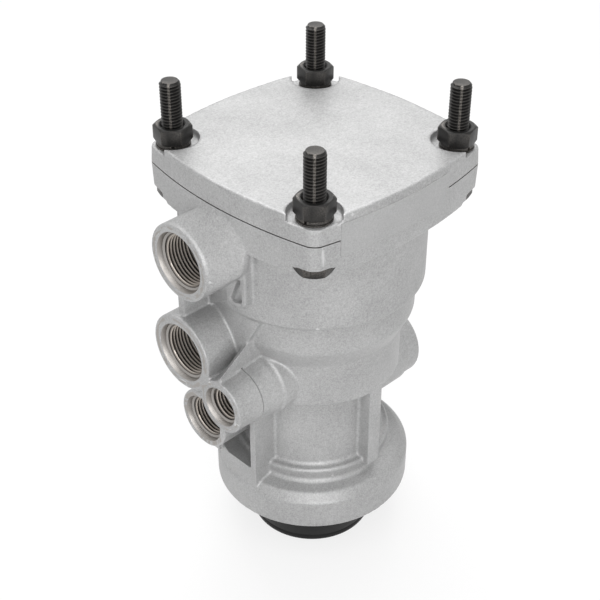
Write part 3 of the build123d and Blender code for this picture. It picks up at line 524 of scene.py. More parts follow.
def slab(low: Sequence[float], high: Sequence[float]) -> Shape:
    """A closed block between two corners."""
    shape = bmesh.new()
    middle = [(a + b) / 2 for a, b in zip(low, high)]
    size = [b - a for a, b in zip(low, high)]
    place = Matrix.Translation(middle) @ Matrix.Diagonal((*size, 1.0))
    bmesh.ops.create_cube(shape, size=1.0, matrix=place)
    return shape


def grown(mesh: Mesh) -> Shape:
    """A copy of a mesh as a bmesh in millimetres."""
    shape = bmesh.new()
    shape.from_mesh(mesh)
    bmesh.ops.scale(shape, vec=(1 / MM, 1 / MM, 1 / MM), verts=shape.verts)
    return shape


def cad_copy(node: str) -> Shape:
    """A merged copy of a CAD node, in millimetres."""
    shape = grown(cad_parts[node].data)
    bmesh.ops.remove_doubles(shape, verts=shape.verts, dist=2e-4)
    return shape


def at_studs(shape: Shape) -> list[Shape]:
    """A copy of a bmesh at each stud; the original is freed."""
    copies = [moved(shape.copy(), Matrix.Translation((x, y, 0))) for x, y in STUDS]
    shape.free()
    return copies


def modify(piece: Object, kind: str, **settings: Any) -> None:
    """Put a modifier on a piece and apply it.

    Args:
        piece: The piece.
        kind: The modifier's type name.
        settings: Its settings, set in order.
    """
    modifier = piece.modifiers.new(kind.lower(), kind)
    for key, value in settings.items():
        setattr(modifier, key, value)
    graph = bpy.context.evaluated_depsgraph_get()
    solid = bpy.data.meshes.new_from_object(piece.evaluated_get(graph), depsgraph=graph)
    old = piece.data
    piece.modifiers.clear()
    piece.data = solid
    solid.name = piece.name
    bpy.data.meshes.remove(old)


def machine(piece: Object, tool: Object, cut: Cut = Cut.REMOVE) -> None:
    """Cut a piece with a closed tool, which is used up; cut faces take the tool's finish."""
    modify(piece, "BOOLEAN", object=tool, operation=cut.value, solver="MANIFOLD", material_mode="TRANSFER")
    bpy.data.objects.remove(tool)


def points_of(mesh: Mesh) -> np.ndarray:
    """The places of a mesh's points, a row each."""
    points = np.empty(len(mesh.vertices) * 3)
    mesh.vertices.foreach_get("co", points)
    return points.reshape(-1, 3)


def set_points(mesh: Mesh, points: np.ndarray) -> None:
    """Put a mesh's points at new places."""
    mesh.vertices.foreach_set("co", points.ravel())
    mesh.update()


def relax(piece: Object, all_rounds: int, hollow_rounds: int) -> None:
    """Round a fused casting: all of it a little, inner corners further, as a mould's fillets do.

    Args:
        piece: The voxel skin.
        all_rounds: Smoothing rounds for every point.
        hollow_rounds: Further rounds for points in hollow corners only.
    """
    pace = 0.5
    hollow_least = 0.004 * MM
    normals_every = 4
    mesh = piece.data
    points = points_of(mesh)
    pairs = np.empty(len(mesh.edges) * 2, dtype=np.int64)
    mesh.edges.foreach_get("vertices", pairs)
    first, second = pairs.reshape(-1, 2).T
    count = np.bincount(first, minlength=len(points)) + np.bincount(second, minlength=len(points))
    for turn in range(all_rounds + hollow_rounds):
        total = np.zeros_like(points)
        for axis in range(3):
            total[:, axis] = np.bincount(first, points[second, axis], len(points))
            total[:, axis] += np.bincount(second, points[first, axis], len(points))
        step = total / count[:, None] - points
        if turn >= all_rounds:
            if (turn - all_rounds) % normals_every == 0:
                set_points(mesh, points)
                normals = np.empty(len(points) * 3)
                mesh.vertex_normals.foreach_get("vector", normals)
                normals = normals.reshape(-1, 3)
            step[np.einsum("ij,ij->i", step, normals) < hollow_least] = 0.0
        points = points + pace * step
    set_points(mesh, points)


def fuse(piece: Object, grain: float) -> None:
    """Fuse overlapping solids into one skin of even facets, whose size is given in millimetres."""
    modify(piece, "REMESH", mode="VOXEL", voxel_size=grain * MM, adaptivity=0.0)


def lighten(piece: Object, share: float) -> None:
    """Take facets away where the surface is flat, and leave it a hair uneven, as cast.

    Points in exactly mirrored places would be taken for one when the renderer finds the edges.

    Args:
        piece: The piece.
        share: The share of its facets that stays.
    """
    modify(piece, "DECIMATE", ratio=share)
    points = points_of(piece.data)
    moves = np.random.default_rng(SEED).uniform(-UNEVEN, UNEVEN, points.shape)
    set_points(piece.data, points + moves * MM)


def shade(piece: Object, degrees: float = 40.0) -> None:
    """Smooth shading with edges sharper than the angle left crisp."""
    mesh = piece.data
    mesh.polygons.foreach_set("use_smooth", [True] * len(mesh.polygons))
    mesh.set_sharp_from_angle(angle=math.radians(degrees))


# Sizes shared by the sub-assemblies, from the model's source, in millimetres


@dataclass(frozen=True)
class Levels:
    """Levels along Z, from the nuts' top faces down."""

    tip: float = 17.4
    nut_foot: float = -6.5
    floor: float = -8.6
    top: float = -5.6
    chamber: float = -10.1
    split: float = -15.3
    lug: float = -25.4
    relay_seat: float = -56.0
    valve_seat: float = -92.6
    neck: float = -76.6
    deck: float = -103.0
    insert: float = -128.0
    insert_end: float = -138.0
    plate: float = -157.0
    plate_end: float = -163.0
    base: float = -166.8
    foot: float = -190.0


@dataclass(frozen=True)
class Bores:
    """Radii of the bores."""

    relay: float = 39.5
    land: float = 32.0
    lower_land: float = 30.0
    lower: float = 24.0
    insert: float = 25.8
    plate: float = 35.0
    bolt: float = 4.5
    ring_bite: float = 1.1
    ring_thick: float = 1.4
    seal: float = 2.6
    seal_wall: float = 1.2


@dataclass(frozen=True)
class PortSize:
    """One threaded port.

    Its mouth's distance along X, its place across and its level, then the radii and lengths of its cut.
    """

    name: str
    side: Side
    face: float
    across: float
    level: float
    ring: float
    major: float
    depth: float
    passage: float
    passage_level: float
    chamber: float

    def mouth(self) -> Matrix:
        """The transform that takes a shape built along +Z, mouth at zero, to the port."""
        turn = Matrix.Rotation(self.side.value * math.pi / 2, 4, "Y")
        return Matrix.Translation((self.side.value * self.face, self.across, self.level)) @ turn


LEVEL = Levels()
BORE = Bores()
PITCH = 1.5
STUDS = [(x, y) for x in (-37.5, 37.5) for y in (-37.5, 37.5)]
CONTROL = PortSize("control", Side.LEFT, 58.3, -7.9, -97.5, 11.4, 7.0, 13.0, 2.2, -100.8, BORE.lower_land)
PORTS = (
    PortSize("delivery", Side.LEFT, 58.3, 12.5, -40.9, 15.8, 11.0, 14.0, 8.0, -40.9, BORE.relay),
    PortSize("supply", Side.LEFT, 58.3, 14.4, -83.3, 16.2, 11.0, 14.0, 7.5, -83.3, BORE.lower_land),
    CONTROL,
    PortSize("service", Side.LEFT, 49.0, 14.5, -122.4, 13.1, 9.0, 11.0, 3.0, -122.4, BORE.lower),
    PortSize("auxiliary", Side.RIGHT, 50.0, 0.0, -123.2, 16.9, 11.0, 14.0, 4.5, -123.2, BORE.lower),
)


# Castings


@dataclass
class Castings:
    """The body and the cover: fused and softened as cast, then machined as on the real valve."""

    finishes: Finishes
    grain: float = 0.5
    body_share: float = 0.26
    cover_share: float = 0.4
    soft_rounds: int = 1
    hollow_rounds: int = 2
    crease: float = 32.0
    plug: float = 0.6
    cut_reach: float = 80.0
    cut_margin: float = 5.0
    split_gap: float = 0.42
    cover_sink: float = 3.0
    cover_margin: float = 8.0
    roof: float = 1.0
    body_core: float = 41.0
    cover_core: float = 42.0
    bore_entry: float = 4.0
    bore_exit: float = 3.0
    bore_chamfer: float = 0.6
    seal_edge: float = 0.01
    neck_drop: float = 1.0
    ring_drop: float = 1.0
    seat_step: float = 1.3
    seat_depth: float = 2.2
    lip: float = 0.5
    face_margin: float = 4.0
    face_chamfer: float = 0.15
    drill_point: float = 3.0
    drill_overlap: float = 1.0
    drill_entry: float = 2.0
    plug_depth: float = 3.5
    hole_over: float = 2.0
    hole_under: float = 2.5
    hole_plug: float = 1.0
    barrel: Profile = ((-0.3, -1.5), (0.8, -16.4), (1.5, -20.1), (1.5, -21.5))
    line_depth: float = 11.9
    line_rise: float = 0.3
    line_bite: float = 0.45
    line_half: float = 0.5
    line_reach: float = 1.2
    sill_span: tuple[float, float] = (-46.9, -43.0)
    sill_level: Profile = ((-7.0, -56.6), (-1.2, -55.1))
    sill_slope: tuple[float, float] = (5.2, 1.4)
    sill_start: tuple[float, float, float] = (0.0, -11.0, -54.4)
    sill_angle: float = -25.6
    foil_gap: float = 0.12
    foil_step: float = 0.18
    foil_layers: int = 8

    def build(self) -> list[Object]:
        """Both castings, riding on the housing."""
        body = self.make_body()
        cover = self.make_cover()
        for piece, node in ((body, "body_casting"), (cover, "top_cover")):
            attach(piece, "housing")
            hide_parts(node)
        return [body, cover]

    def inner_profile(self) -> list[tuple[float, float]]:
        """The bored inside as a section, grown by the plug's margin."""
        extra = self.plug
        seal_out = BORE.relay + BORE.seal_wall + BORE.seal + extra
        land_out = BORE.land + BORE.ring_bite + extra
        insert_out = BORE.insert + BORE.ring_bite + extra
        plate_out = BORE.plate + BORE.ring_bite + extra
        return [
            (0.0, LEVEL.split),
            (seal_out, LEVEL.split),
            (seal_out, LEVEL.split - BORE.seal - extra),
            (BORE.relay + extra, LEVEL.split - BORE.seal - extra),
            (BORE.relay + extra, LEVEL.relay_seat - extra),
            (land_out, LEVEL.relay_seat - extra),
            (land_out, LEVEL.neck),
            (BORE.lower_land + extra, LEVEL.neck - self.neck_drop),
            (BORE.lower_land + extra, LEVEL.deck - extra),
            (BORE.lower + extra, LEVEL.deck - extra),
            (BORE.lower + extra, LEVEL.insert - extra),
            (insert_out, LEVEL.insert - extra),
            (insert_out, LEVEL.plate - extra),
            (plate_out, LEVEL.plate - extra),
            (plate_out, LEVEL.base),
            (0.0, LEVEL.base),
        ]

    def groove(self, radius: float, level: float) -> list[tuple[float, float]]:
        """The outline of a snap ring's groove, from its upper edge down."""
        out = radius + BORE.ring_bite
        foot = level - BORE.ring_thick
        return [(radius, level), (out, level), (out, foot), (radius, foot)]

    def bore_profile(self) -> list[tuple[float, float]]:
        """The tool that bores the inside, with its seal and ring grooves."""
        seal_in = BORE.relay + BORE.seal_wall
        seal_out = seal_in + BORE.seal
        return [
            (0.0, LEVEL.split + self.bore_entry),
            (seal_out, LEVEL.split + self.bore_entry),
            (seal_out, LEVEL.split - BORE.seal),
            (seal_in, LEVEL.split - BORE.seal),
            (seal_in, LEVEL.split - self.seal_edge),
            (BORE.relay, LEVEL.split - self.seal_edge),
            (BORE.relay, LEVEL.relay_seat),
            (BORE.land, LEVEL.relay_seat),
            *self.groove(BORE.land, LEVEL.relay_seat - self.ring_drop),
            (BORE.land, LEVEL.neck),
            (BORE.lower_land, LEVEL.neck - self.neck_drop),
            (BORE.lower_land, LEVEL.deck),
            (BORE.lower, LEVEL.deck),
            (BORE.lower, LEVEL.insert),
            (BORE.insert, LEVEL.insert),
            *self.groove(BORE.insert, LEVEL.insert_end),
            (BORE.insert, LEVEL.plate),
            (BORE.plate, LEVEL.plate),
            *self.groove(BORE.plate, LEVEL.plate_end),
            (BORE.plate, LEVEL.base + self.bore_chamfer),
            (BORE.plate + self.bore_chamfer, LEVEL.base),
            (BORE.plate + self.bore_chamfer, LEVEL.base - self.bore_exit),
            (0.0, LEVEL.base - self.bore_exit),
        ]

    def passage(self, port: PortSize, extra: float) -> Shape:
        """The drilled way from a port to its chamber, grown by extra."""
        start = port.face - port.depth + self.drill_overlap
        end = math.sqrt(port.chamber ** 2 - port.across ** 2) - port.passage - self.drill_entry
        turn = Matrix.Rotation(port.side.value * math.pi / 2, 4, "Y")
        place = Matrix.Translation((port.side.value * end, port.across, port.passage_level))
        return moved(rod(port.passage + extra, 0.0, start - end), place @ turn)

    def port_plug(self, port: PortSize) -> Shape:
        """A plug that fills a port before the casting is softened."""
        radius = port.major + self.seat_step + self.plug
        return moved(rod(radius, 0.0, -port.depth - self.plug_depth), port.mouth())

    def port_tool(self, port: PortSize) -> Shape:
        """The step drill that makes a port's seat, lead and thread bore."""
        seat = port.major + self.seat_step
        profile = [
            (0.0, self.drill_point),
            (port.ring + self.face_margin, self.drill_point),
            (port.ring + self.face_margin, 0.0),
            (seat + self.face_chamfer, 0.0),
            (seat, -self.face_chamfer),
            (seat - self.lip, -self.seat_depth),
            (port.major, -self.seat_depth - self.lip),
            (port.major, -port.depth),
            (0.0, -port.depth - self.drill_point),
        ]
        return moved(revolve(profile, 96), port.mouth())

    def control_root(self) -> Shape:
        """The draft of the control barrel, up to the ridge at its root."""
        return moved(stepped(CONTROL.ring, self.barrel), CONTROL.mouth())

    def mould_line(self, port: PortSize) -> Shape:
        """The fine groove where the mould's slide ended on a barrel."""
        out = port.ring + self.line_reach
        profile = [
            (out, -self.line_depth + self.line_half),
            (port.ring + self.line_rise - self.line_bite, -self.line_depth),
            (out, -self.line_depth - self.line_half),
        ]
        return moved(revolve(profile, 96), port.mouth())

    def pocket_sill(self) -> list[Shape]:
        """The thin wall that closes the cored pocket at its foot: a level part and a sloping one."""
        outer, inner = self.sill_span
        low, high = self.sill_level
        turn = Matrix.Rotation(math.radians(self.sill_angle), 4, "X")
        slope = slab((outer, 0.0, 0.0), (inner, *self.sill_slope))
        return [slab((outer, *low), (inner, *high)), moved(slope, Matrix.Translation(self.sill_start) @ turn)]

    def label_seat(self) -> list[Shape]:
        """Copies of the foil, set back step by step, that fill the draft behind it."""
        backs = [self.foil_gap + self.foil_step * layer for layer in range(self.foil_layers)]
        return [moved(cad_copy("blank_label"), Matrix.Translation((0, back, 0))) for back in backs]

    def flat_cut(self, low: float, high: float) -> Shape:
        """A milling cut right across, between two levels."""
        return slab((-self.cut_reach, -self.cut_reach, low), (self.cut_reach, self.cut_reach, high))

    def make(self, name: str, plugs: list[Shape], share: float, tools: list[Shape]) -> Object:
        """Cast a piece and machine it.

        Args:
            name: The new object's name.
            plugs: Overlapping solids that fill the casting's mould.
            share: The share of the skin's facets that stays.
            tools: What is cut away, in order.

        Returns:
            The machined casting.
        """
        piece = as_object(name, merged(plugs), [self.finishes.cast])
        fuse(piece, self.grain)
        relax(piece, self.soft_rounds, self.hollow_rounds)
        lighten(piece, share)
        for number, tool in enumerate(tools):
            machine(piece, as_object(f"tool_{number}", tool, [self.finishes.turned]))
        return piece

    def make_body(self) -> Object:
        """The body casting."""
        plugs = [cad_copy("body_casting"), cad_copy("top_cover"), revolve(self.inner_profile(), 128)]
        tools = [
            revolve(self.bore_profile(), 128),
            self.flat_cut(LEVEL.split, self.cut_margin),
            self.flat_cut(LEVEL.base - self.cut_margin, LEVEL.base),
        ]
        for port in PORTS:
            plugs += [self.port_plug(port), self.passage(port, self.plug)]
            tools += [self.port_tool(port), self.passage(port, 0.0)]
        plugs += at_studs(rod(BORE.bolt + self.plug, LEVEL.floor, LEVEL.lug + self.hole_plug))
        tools += at_studs(rod(BORE.bolt, LEVEL.split + self.hole_over, LEVEL.lug - self.hole_under))
        plugs += [self.control_root(), *self.label_seat(), *self.pocket_sill()]
        plugs.append(rod(self.body_core, LEVEL.top - self.roof, LEVEL.split - self.roof, 96))
        body = self.make("body_skin", plugs, self.body_share, tools)
        machine(body, as_object("mould_line", self.mould_line(CONTROL), [self.finishes.cast]))
        shade(body, self.crease)
        return body

    def make_cover(self) -> Object:
        """The cover casting."""
        low = LEVEL.split - self.cover_sink
        lower = moved(cad_copy("top_cover"), Matrix.Translation((0, 0, -self.cover_sink)))
        plugs = [cad_copy("top_cover"), lower, *self.label_seat()]
        plugs.append(rod(self.cover_core, LEVEL.top - self.roof, low, 96))
        plugs += at_studs(rod(BORE.bolt + self.plug, LEVEL.floor, low))
        tools = [
            self.flat_cut(LEVEL.split - self.cover_margin, LEVEL.split + self.split_gap),
            rod(BORE.relay - self.roof, LEVEL.chamber, low, 128),
            *at_studs(rod(BORE.bolt, LEVEL.floor + self.hole_over, low)),
        ]
        cover = self.make("cover_skin", plugs, self.cover_share, tools)
        shade(cover, self.crease)
        return cover


# Threads and fasteners


def radius_of(vertex: bmesh.types.BMVert) -> float:
    """A point's distance from the Z axis."""
    return math.hypot(vertex.co.x, vertex.co.y)


def set_radius(vertex: bmesh.types.BMVert, radius: float) -> None:
    """Move a point to a new distance from the Z axis."""
    share = radius / radius_of(vertex)
    vertex.co.x *= share
    vertex.co.y *= share


@dataclass(frozen=True)
class ThreadForm:
    """A screw thread between two levels, in millimetres; its shares are of one pitch."""

    major: float
    pitch: float
    low: float
    high: float
    inward: bool = False
    steps: int = 72
    depth_share: float = 0.6
    corner_shares: tuple[float, ...] = (0.0, 0.08, 0.44, 0.60, 0.92)

    @property
    def depth(self) -> float:
        """How deep the thread is cut."""
        return self.depth_share * self.pitch

    def section(self) -> list[tuple[float, float]]:
        """One turn's outline: (radius, rise) from one crest's foot to the next."""
        crest = self.major - (self.depth if self.inward else 0.0)
        root = self.major - (0.0 if self.inward else self.depth)
        radii = (crest, crest, root, root, crest)
        return [(radius, part * self.pitch) for radius, part in zip(radii, self.corner_shares)]

    def sheet(self) -> Shape:
        """The helical surface, trimmed flat at both levels."""
        shape = bmesh.new()
        turns = math.ceil((self.high - self.low) / self.pitch) + 2
        corners = []
        for turn in range(turns):
            for radius, rise in self.section():
                level = self.low + (turn - 1.5) * self.pitch + rise
                corners.append(shape.verts.new((radius, 0, level)))
        for start, end in zip(corners, corners[1:]):
            shape.edges.new((start, end))
        bmesh.ops.spin(shape, geom=list(shape.verts) + list(shape.edges), cent=(0, 0, 0), axis=(0, 0, 1),
                       dvec=(0, 0, self.pitch / self.steps), angle=math.tau, steps=self.steps)
        bmesh.ops.remove_doubles(shape, verts=shape.verts, dist=1e-3)
        for level, normal in ((self.high, (0, 0, 1)), (self.low, (0, 0, -1))):
            geometry = list(shape.verts) + list(shape.edges) + list(shape.faces)
            bmesh.ops.bisect_plane(shape, geom=geometry, plane_co=(0, 0, level), plane_no=normal,
                                   clear_outer=True, dist=1e-5)
        return shape

    def limit(self, shape: Shape, bound: Callable[[float], float]) -> None:
        """Hold every point's radius to a bound that depends on its level.

        Args:
            shape: The thread.
            bound: The furthest, or for an inner thread the nearest, radius at a level.
        """
        for vertex in shape.verts:
            radius = radius_of(vertex)
            edge = bound(vertex.co.z)
            wrong = radius < edge if self.inward else radius > edge
            if wrong and radius > 0:
                set_radius(vertex, edge)

    def mark(self, shape: Shape) -> None:
        """Write each point's height between root and crest as the attribute crest."""
        layer = shape.verts.layers.float.new("crest")
        for vertex in shape.verts:
            rise = (self.major - radius_of(vertex)) / self.depth
            vertex[layer] = min(max(rise if self.inward else 1 - rise, 0.0), 1.0)


def open_ends(shape: Shape) -> list[bmesh.types.BMEdge]:
    """The boundary edges of a sheet."""
    return [edge for edge in shape.edges if edge.is_boundary]


@dataclass
class PortThreads:
    """The threads inside the five ports."""

    finishes: Finishes
    lead: float = 2.7
    lead_start: float = 0.25
    lead_slope: float = 0.9
    foot: float = 0.2
    wall: float = 0.12

    def build(self) -> list[Object]:
        """One piece for each port."""
        return [self.make(port) for port in PORTS]

    def make(self, port: PortSize) -> Object:
        """The thread of one port, riding on the housing."""
        form = ThreadForm(port.major, PITCH, -port.depth + self.foot, -self.lead, inward=True, steps=96)
        shape = form.sheet()
        form.limit(shape, lambda level: port.major - (-self.lead + self.lead_start - level) * self.lead_slope)
        form.mark(shape)
        outer = bmesh.ops.extrude_edge_only(shape, edges=open_ends(shape))
        for item in outer["geom"]:
            if isinstance(item, bmesh.types.BMVert):
                set_radius(item, port.major + self.wall)
        bmesh.ops.bridge_loops(shape, edges=open_ends(shape))
        bmesh.ops.recalc_face_normals(shape, faces=shape.faces)
        piece = as_object(f"{port.name}_thread", moved(shape, port.mouth()), [self.finishes.thread])
        shade(piece)
        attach(piece, "housing")
        return piece


@dataclass
class Fasteners:
    """The four clamp bolts with their threaded ends, the nuts and the spring washers."""

    finishes: Finishes
    radius: float = 4.0
    pitch: float = 1.25
    flats: float = 13.0
    head_height: float = 4.0
    corner_margin: float = 0.3
    flat_margin: float = 0.25
    chamfer_slope: float = 0.56
    nut_turn: float = 45.0
    thread_foot: float = 1.0
    shank_drop: float = 0.8
    shank_sink: float = 0.2
    tip_length: float = 1.0
    tip_slope: float = 0.85
    head_round: float = 0.25
    nut_round: float = 0.22
    washer_round: float = 0.18
    sink: Profile = ((1.9, 1.0), (0.95, 0.0), (0.25, -0.9), (0.05, -1.2), (0.05, -8.0))
    washer_radius: float = 6.35
    washer_play: float = 0.3
    washer_foot: float = 0.75
    washer_thick: float = 1.25
    washer_arc: float = 350.0
    washer_turn: float = 200.0
    washer_step: float = 35.0
    flat_rim: float = 0.35
    flat_gap: float = 0.12

    def hexagon(self, low: float, high: float) -> Shape:
        """A hexagonal bar between two levels, turned as the nuts are."""
        shape = bmesh.new()
        corner = self.flats / math.sqrt(3)
        turn = Matrix.Rotation(math.radians(self.nut_turn), 4, "Z")
        place = Matrix.Translation((0, 0, (low + high) / 2)) @ turn
        bmesh.ops.create_cone(shape, cap_ends=True, segments=6, radius1=corner, radius2=corner,
                              depth=high - low, matrix=place)
        return shape

    def chamfered(self, name: str, low: float, high: float, top: bool) -> Object:
        """A hexagonal bar whose corners are turned off in cones.

        Args:
            name: The new object's name.
            low: Its lower face.
            high: Its upper face.
            top: Whether the upper corners are turned off, as the lower ones always are.

        Returns:
            The bar.
        """
        corner = self.flats / math.sqrt(3) + self.corner_margin
        flat = self.flats / 2 - self.flat_margin
        drop = (corner - flat) * self.chamfer_slope
        profile = [(0.0, low), (flat, low), (corner, low + drop)]
        profile += [(corner, high - drop)] if top else []
        profile += [(flat if top else corner, high), (0.0, high)]
        bar = as_object(name, self.hexagon(low, high), [self.finishes.black])
        machine(bar, as_object("cone", revolve(profile, 128), [self.finishes.black]), Cut.KEEP)
        return bar

    def soften(self, piece: Object, width: float) -> None:
        """Round the sharp edges of a small steel piece."""
        modify(piece, "BEVEL", width=width * MM, segments=2, limit_method="ANGLE", angle_limit=math.radians(24))
        shade(piece)

    def bolt(self) -> Shape:
        """One bolt's threaded shank, from the head to the tip."""
        form = ThreadForm(self.radius, self.pitch, LEVEL.nut_foot - self.thread_foot, LEVEL.tip)
        shape = form.sheet()
        start = LEVEL.tip - self.tip_length
        form.limit(shape, lambda level: self.radius - max(0.0, level - start) * self.tip_slope)
        bmesh.ops.holes_fill(shape, edges=open_ends(shape), sides=0)
        bmesh.ops.recalc_face_normals(shape, faces=shape.faces)
        return shape

    def make_bolts(self) -> Object:
        """All four bolts as one piece."""
        head = self.chamfered("head", LEVEL.lug - self.head_height, LEVEL.lug, False)
        self.soften(head, self.head_round)
        lower = grown(head.data)
        bpy.data.objects.remove(head)
        shank = rod(self.radius, LEVEL.nut_foot - self.shank_drop, LEVEL.lug - self.shank_sink)
        one = merged([lower, shank, self.bolt()])
        piece = as_object("threaded_bolts", merged(at_studs(one)), [self.finishes.black])
        shade(piece)
        return piece

    def make_nuts(self) -> Object:
        """All four nuts as one piece."""
        nut = self.chamfered("nut", LEVEL.nut_foot, 0.0, True)
        machine(nut, as_object("sink", stepped(self.radius, self.sink), [self.finishes.black]))
        self.soften(nut, self.nut_round)
        copies = at_studs(grown(nut.data))
        bpy.data.objects.remove(nut)
        piece = as_object("hexagon_nuts", merged(copies), [self.finishes.black])
        shade(piece)
        return piece

    def make_washers(self) -> Object:
        """Spring washers, cut and each turned a little further, on a thin flat one."""
        foot = LEVEL.floor + self.washer_foot
        inner = self.radius + self.washer_play
        copies = []
        for number, (x, y) in enumerate(STUDS):
            coil = tube(inner, self.washer_radius, foot, foot + self.washer_thick, 60,
                        math.radians(self.washer_arc))
            turn = Matrix.Rotation(math.radians(self.washer_turn + self.washer_step * number), 4, "Z")
            flat = tube(inner, self.washer_radius + self.flat_rim, LEVEL.floor, foot - self.flat_gap, 64)
            both = merged([moved(coil, turn), flat])
            copies.append(moved(both, Matrix.Translation((x, y, 0))))
        piece = as_object("spring_washers", merged(copies), [self.finishes.black])
        self.soften(piece, self.washer_round)
        return piece

    def build(self) -> list[Object]:
        """All the fasteners, riding on the housing."""
        pairs = (
            (self.make_bolts(), "clamp_bolts"),
            (self.make_nuts(), "clamp_nuts"),
            (self.make_washers(), "lock_washers"),
        )
        for piece, node in pairs:
            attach(piece, "housing")
            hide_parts(node)
        return [piece for piece, _ in pairs]


# The exhaust ring and the pieces that keep their model shape


@dataclass
class ExhaustFoot:
    """The black exhaust ring under the base."""

    finishes: Finishes
    outer: float = 26.7
    neck: float = 21.5
    deck: float = -173.0
    crease: float = 30.0
    rim: Profile = ((0.0, 3.4), (-0.15, 3.1), (-0.15, 2.9), (0.0, 2.6), (0.0, 1.0), (-0.3, 0.35), (-0.9, 0.0),
                    (-2.8, 0.0), (-3.2, 0.5))

    def build(self) -> list[Object]:
        """The ring, with its rounded foot and a shallow grip groove."""
        top = LEVEL.plate_end
        round_off = 0.3
        profile = [
            (self.neck, top), (self.outer - round_off, top), (self.outer, top - round_off),
            *((self.outer + rise, LEVEL.foot + level) for rise, level in self.rim),
            (self.outer + self.rim[-1][0], self.deck), (self.neck, self.deck),
        ]
        piece = as_object("exhaust_ring", revolve(profile, 160), [self.finishes.plastic])
        shade(piece, self.crease)
        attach(piece, "housing")
        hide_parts("exhaust_foot")
        return [piece]


@dataclass
class InnerParts:
    """The pieces whose model shape is right: each takes its finish."""

    finishes: Finishes

    def build(self) -> list[Object]:
        """Dress every node that is still shown."""
        groups: tuple[tuple[Material, tuple[str, ...]], ...] = (
            (self.finishes.foil, ("blank_label",)),
            (self.finishes.turned, ("relay_piston", "hand_brake_piston", "guide_insert", "bottom_plate")),
            (self.finishes.brass, ("valve_sleeve",)),
            (self.finishes.spring, ("stop_ring", "valve_guide_ring", "guide_insert_ring", "bottom_plate_ring")),
            (self.finishes.rubber, (
                "cover_seal", "relay_piston_seal", "hand_brake_piston_seals", "valve_face", "valve_guide_seal",
                "guide_insert_outer_seal", "guide_insert_inner_seal", "bottom_plate_seal", "exhaust_flap",
            )),
            (self.finishes.plastic, ("flap_button", "valve_guide")),
        )
        dressed = []
        for finish, nodes in groups:
            for node in nodes:
                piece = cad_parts[node]
                piece.data.materials.clear()
                piece.data.materials.append(finish)
                dressed.append(piece)
        return dressed


@dataclass(frozen=True)
class Coil:
    """One spring: the body under it, the joint that loads it, its fixed seat and its travel, in metres."""

    name: str
    node: str
    body: str
    joint: str
    seat: float
    travel: float


@dataclass
class Springs:
    """The three return springs."""

    finishes: Finishes
    coils: tuple[Coil, ...] = (
        Coil("relay_coil", "relay_return_spring", "housing", "relay_piston_slide", LEVEL.relay_seat * MM,
             2.0 * MM),
        Coil("hand_brake_coil", "hand_brake_spring", "housing", "hand_brake_slide", LEVEL.insert * MM,
             2.4 * MM),
        Coil("valve_coil", "valve_spring", "hand_brake_body", "valve_slide", LEVEL.valve_seat * MM, 2.0 * MM),
    )

    def build(self) -> list[Object]:
        """Every spring, riding on the body under it."""
        pieces = []
        for coil in self.coils:
            piece = as_object(coil.name, cad_copy(coil.node), [self.finishes.spring])
            shade(piece, 40)
            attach(piece, coil.body)
            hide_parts(coil.node)
            low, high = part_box(coil.node)
            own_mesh(piece)
            pieces.append(piece)
        return pieces


# Studio


@dataclass(frozen=True)
class Softbox:
    """One soft lamp: where it stands, what it looks at, its size in metres and its power."""

    name: str
    place: tuple[float, float, float]
    aim: tuple[float, float, float]
    size: float
    power: float


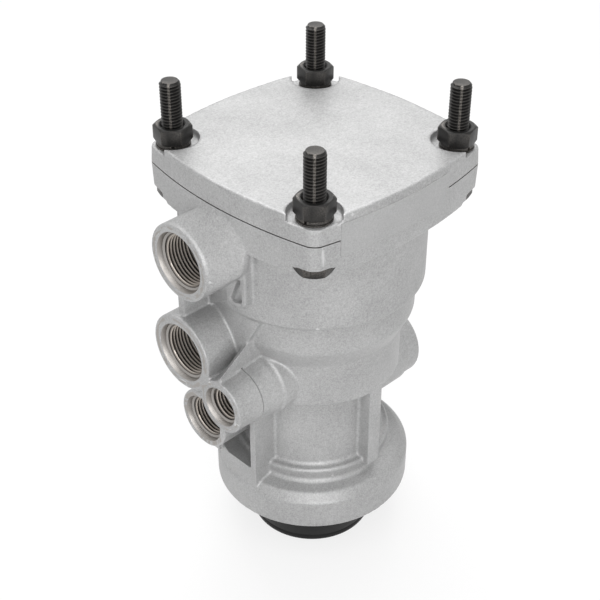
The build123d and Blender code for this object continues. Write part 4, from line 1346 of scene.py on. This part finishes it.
@dataclass
class Studio:
    """Camera, white floor, soft lamps and a white world."""

    eye: tuple[float, float, float] = (-0.2920, -0.2907, 0.2078)
    target: tuple[float, float, float] = (-0.00386, 0.00386, -0.0795)
    roll: float = math.radians(0.116)
    lens: float = 73.9
    ambient: float = 0.45
    shadow_share: float = 0.22
    floor_size: float = 3000.0
    floor_gap: float = 0.05
    floor_tone: float = 0.96
    floor_roughness: float = 0.7
    softboxes: tuple[Softbox, ...] = (
        Softbox("back_box", (0.30, 0.42, 0.85), (0.0, 0.0, -0.07), 0.9, 8.2),
        Softbox("high_box", (-0.42, -0.42, 0.95), (0.0, 0.0, -0.07), 0.8, 4.2),
        Softbox("front_box", (-0.66, -0.80, 0.22), (0.0, 0.0, -0.09), 0.6, 4.4),
    )

    def aim(self, item: Object, place: Sequence[float], aim: Sequence[float], roll: float = 0.0) -> None:
        """Put a camera or lamp at a place, looking at a point."""
        way = Vector(aim) - Vector(place)
        turn = way.to_track_quat("-Z", "Y").to_matrix().to_4x4()
        item.matrix_world = Matrix.Translation(place) @ turn @ Matrix.Rotation(roll, 4, "Z")

    def make_camera(self) -> None:
        """The camera at the photograph's place."""
        camera = bpy.data.objects.new("camera", bpy.data.cameras.new("camera"))
        camera.data.lens = self.lens
        camera.data.sensor_width = 36.0
        camera.data.clip_start = 0.01
        bpy.context.scene.collection.objects.link(camera)
        self.aim(camera, self.eye, self.target, self.roll)
        bpy.context.scene.camera = camera

    def make_lamps(self) -> None:
        """The soft lamps."""
        for box in self.softboxes:
            data = bpy.data.lights.new(box.name, "AREA")
            data.shape = "SQUARE"
            data.size = box.size
            data.energy = box.power
            lamp = bpy.data.objects.new(box.name, data)
            bpy.context.scene.collection.objects.link(lamp)
            self.aim(lamp, box.place, box.aim)

    def make_floor(self) -> Object:
        """The pale floor under the exhaust ring: white to the camera but for the shadow."""
        shape = bmesh.new()
        bmesh.ops.create_grid(shape, x_segments=1, y_segments=1, size=self.floor_size)
        moved(shape, Matrix.Translation((0, 0, LEVEL.foot - self.floor_gap)))
        graph = Graph("floor")
        graph.finish(Base_Color=grey(self.floor_tone), Roughness=self.floor_roughness)
        white = graph.node("ShaderNodeEmission", {}, {"Color": grey(1.0), "Strength": 1.0})
        graph.show("Material Output", graph.direct() * (1.0 - self.shadow_share), graph.shader, white)
        floor = as_object("floor", shape, [graph.material])
        return floor

    def make_world(self) -> None:
        """A soft grey world, pure white where the camera or a mirror sees it."""
        world = bpy.data.worlds.new("studio")
        bpy.context.scene.world = world
        graph = Tree(world)
        plain = graph.tree.nodes["Background"]
        graph.feed(plain.inputs["Color"], grey(1.0))
        graph.feed(plain.inputs["Strength"], self.ambient)
        white = graph.node("ShaderNodeBackground", {}, {"Color": grey(1.0), "Strength": 1.0})
        graph.show("World Output", graph.direct(), plain, white)

    def build(self) -> None:
        """Set the whole studio up."""
        bpy.context.scene.view_settings.view_transform = "Standard"
        self.make_camera()
        self.make_lamps()
        self.make_world()
        self.make_floor()


# All together


def main() -> None:
    """Build every sub-assembly in order and report each piece."""
    logging.basicConfig(level=logging.INFO, format="%(name)s: %(message)s")
    Studio().build()
    finishes = Finishes()
    groups = (
        ("castings", Castings(finishes)),
        ("port threads", PortThreads(finishes)),
        ("fasteners", Fasteners(finishes)),
        ("exhaust", ExhaustFoot(finishes)),
        ("inner parts", InnerParts(finishes)),
        ("springs", Springs(finishes)),
    )
    for title, group in groups:
        for piece in group.build():
            LOG.info("%s: %s, %d faces", title, piece.name, len(piece.data.polygons))


if __name__ == "__main__":
    main()
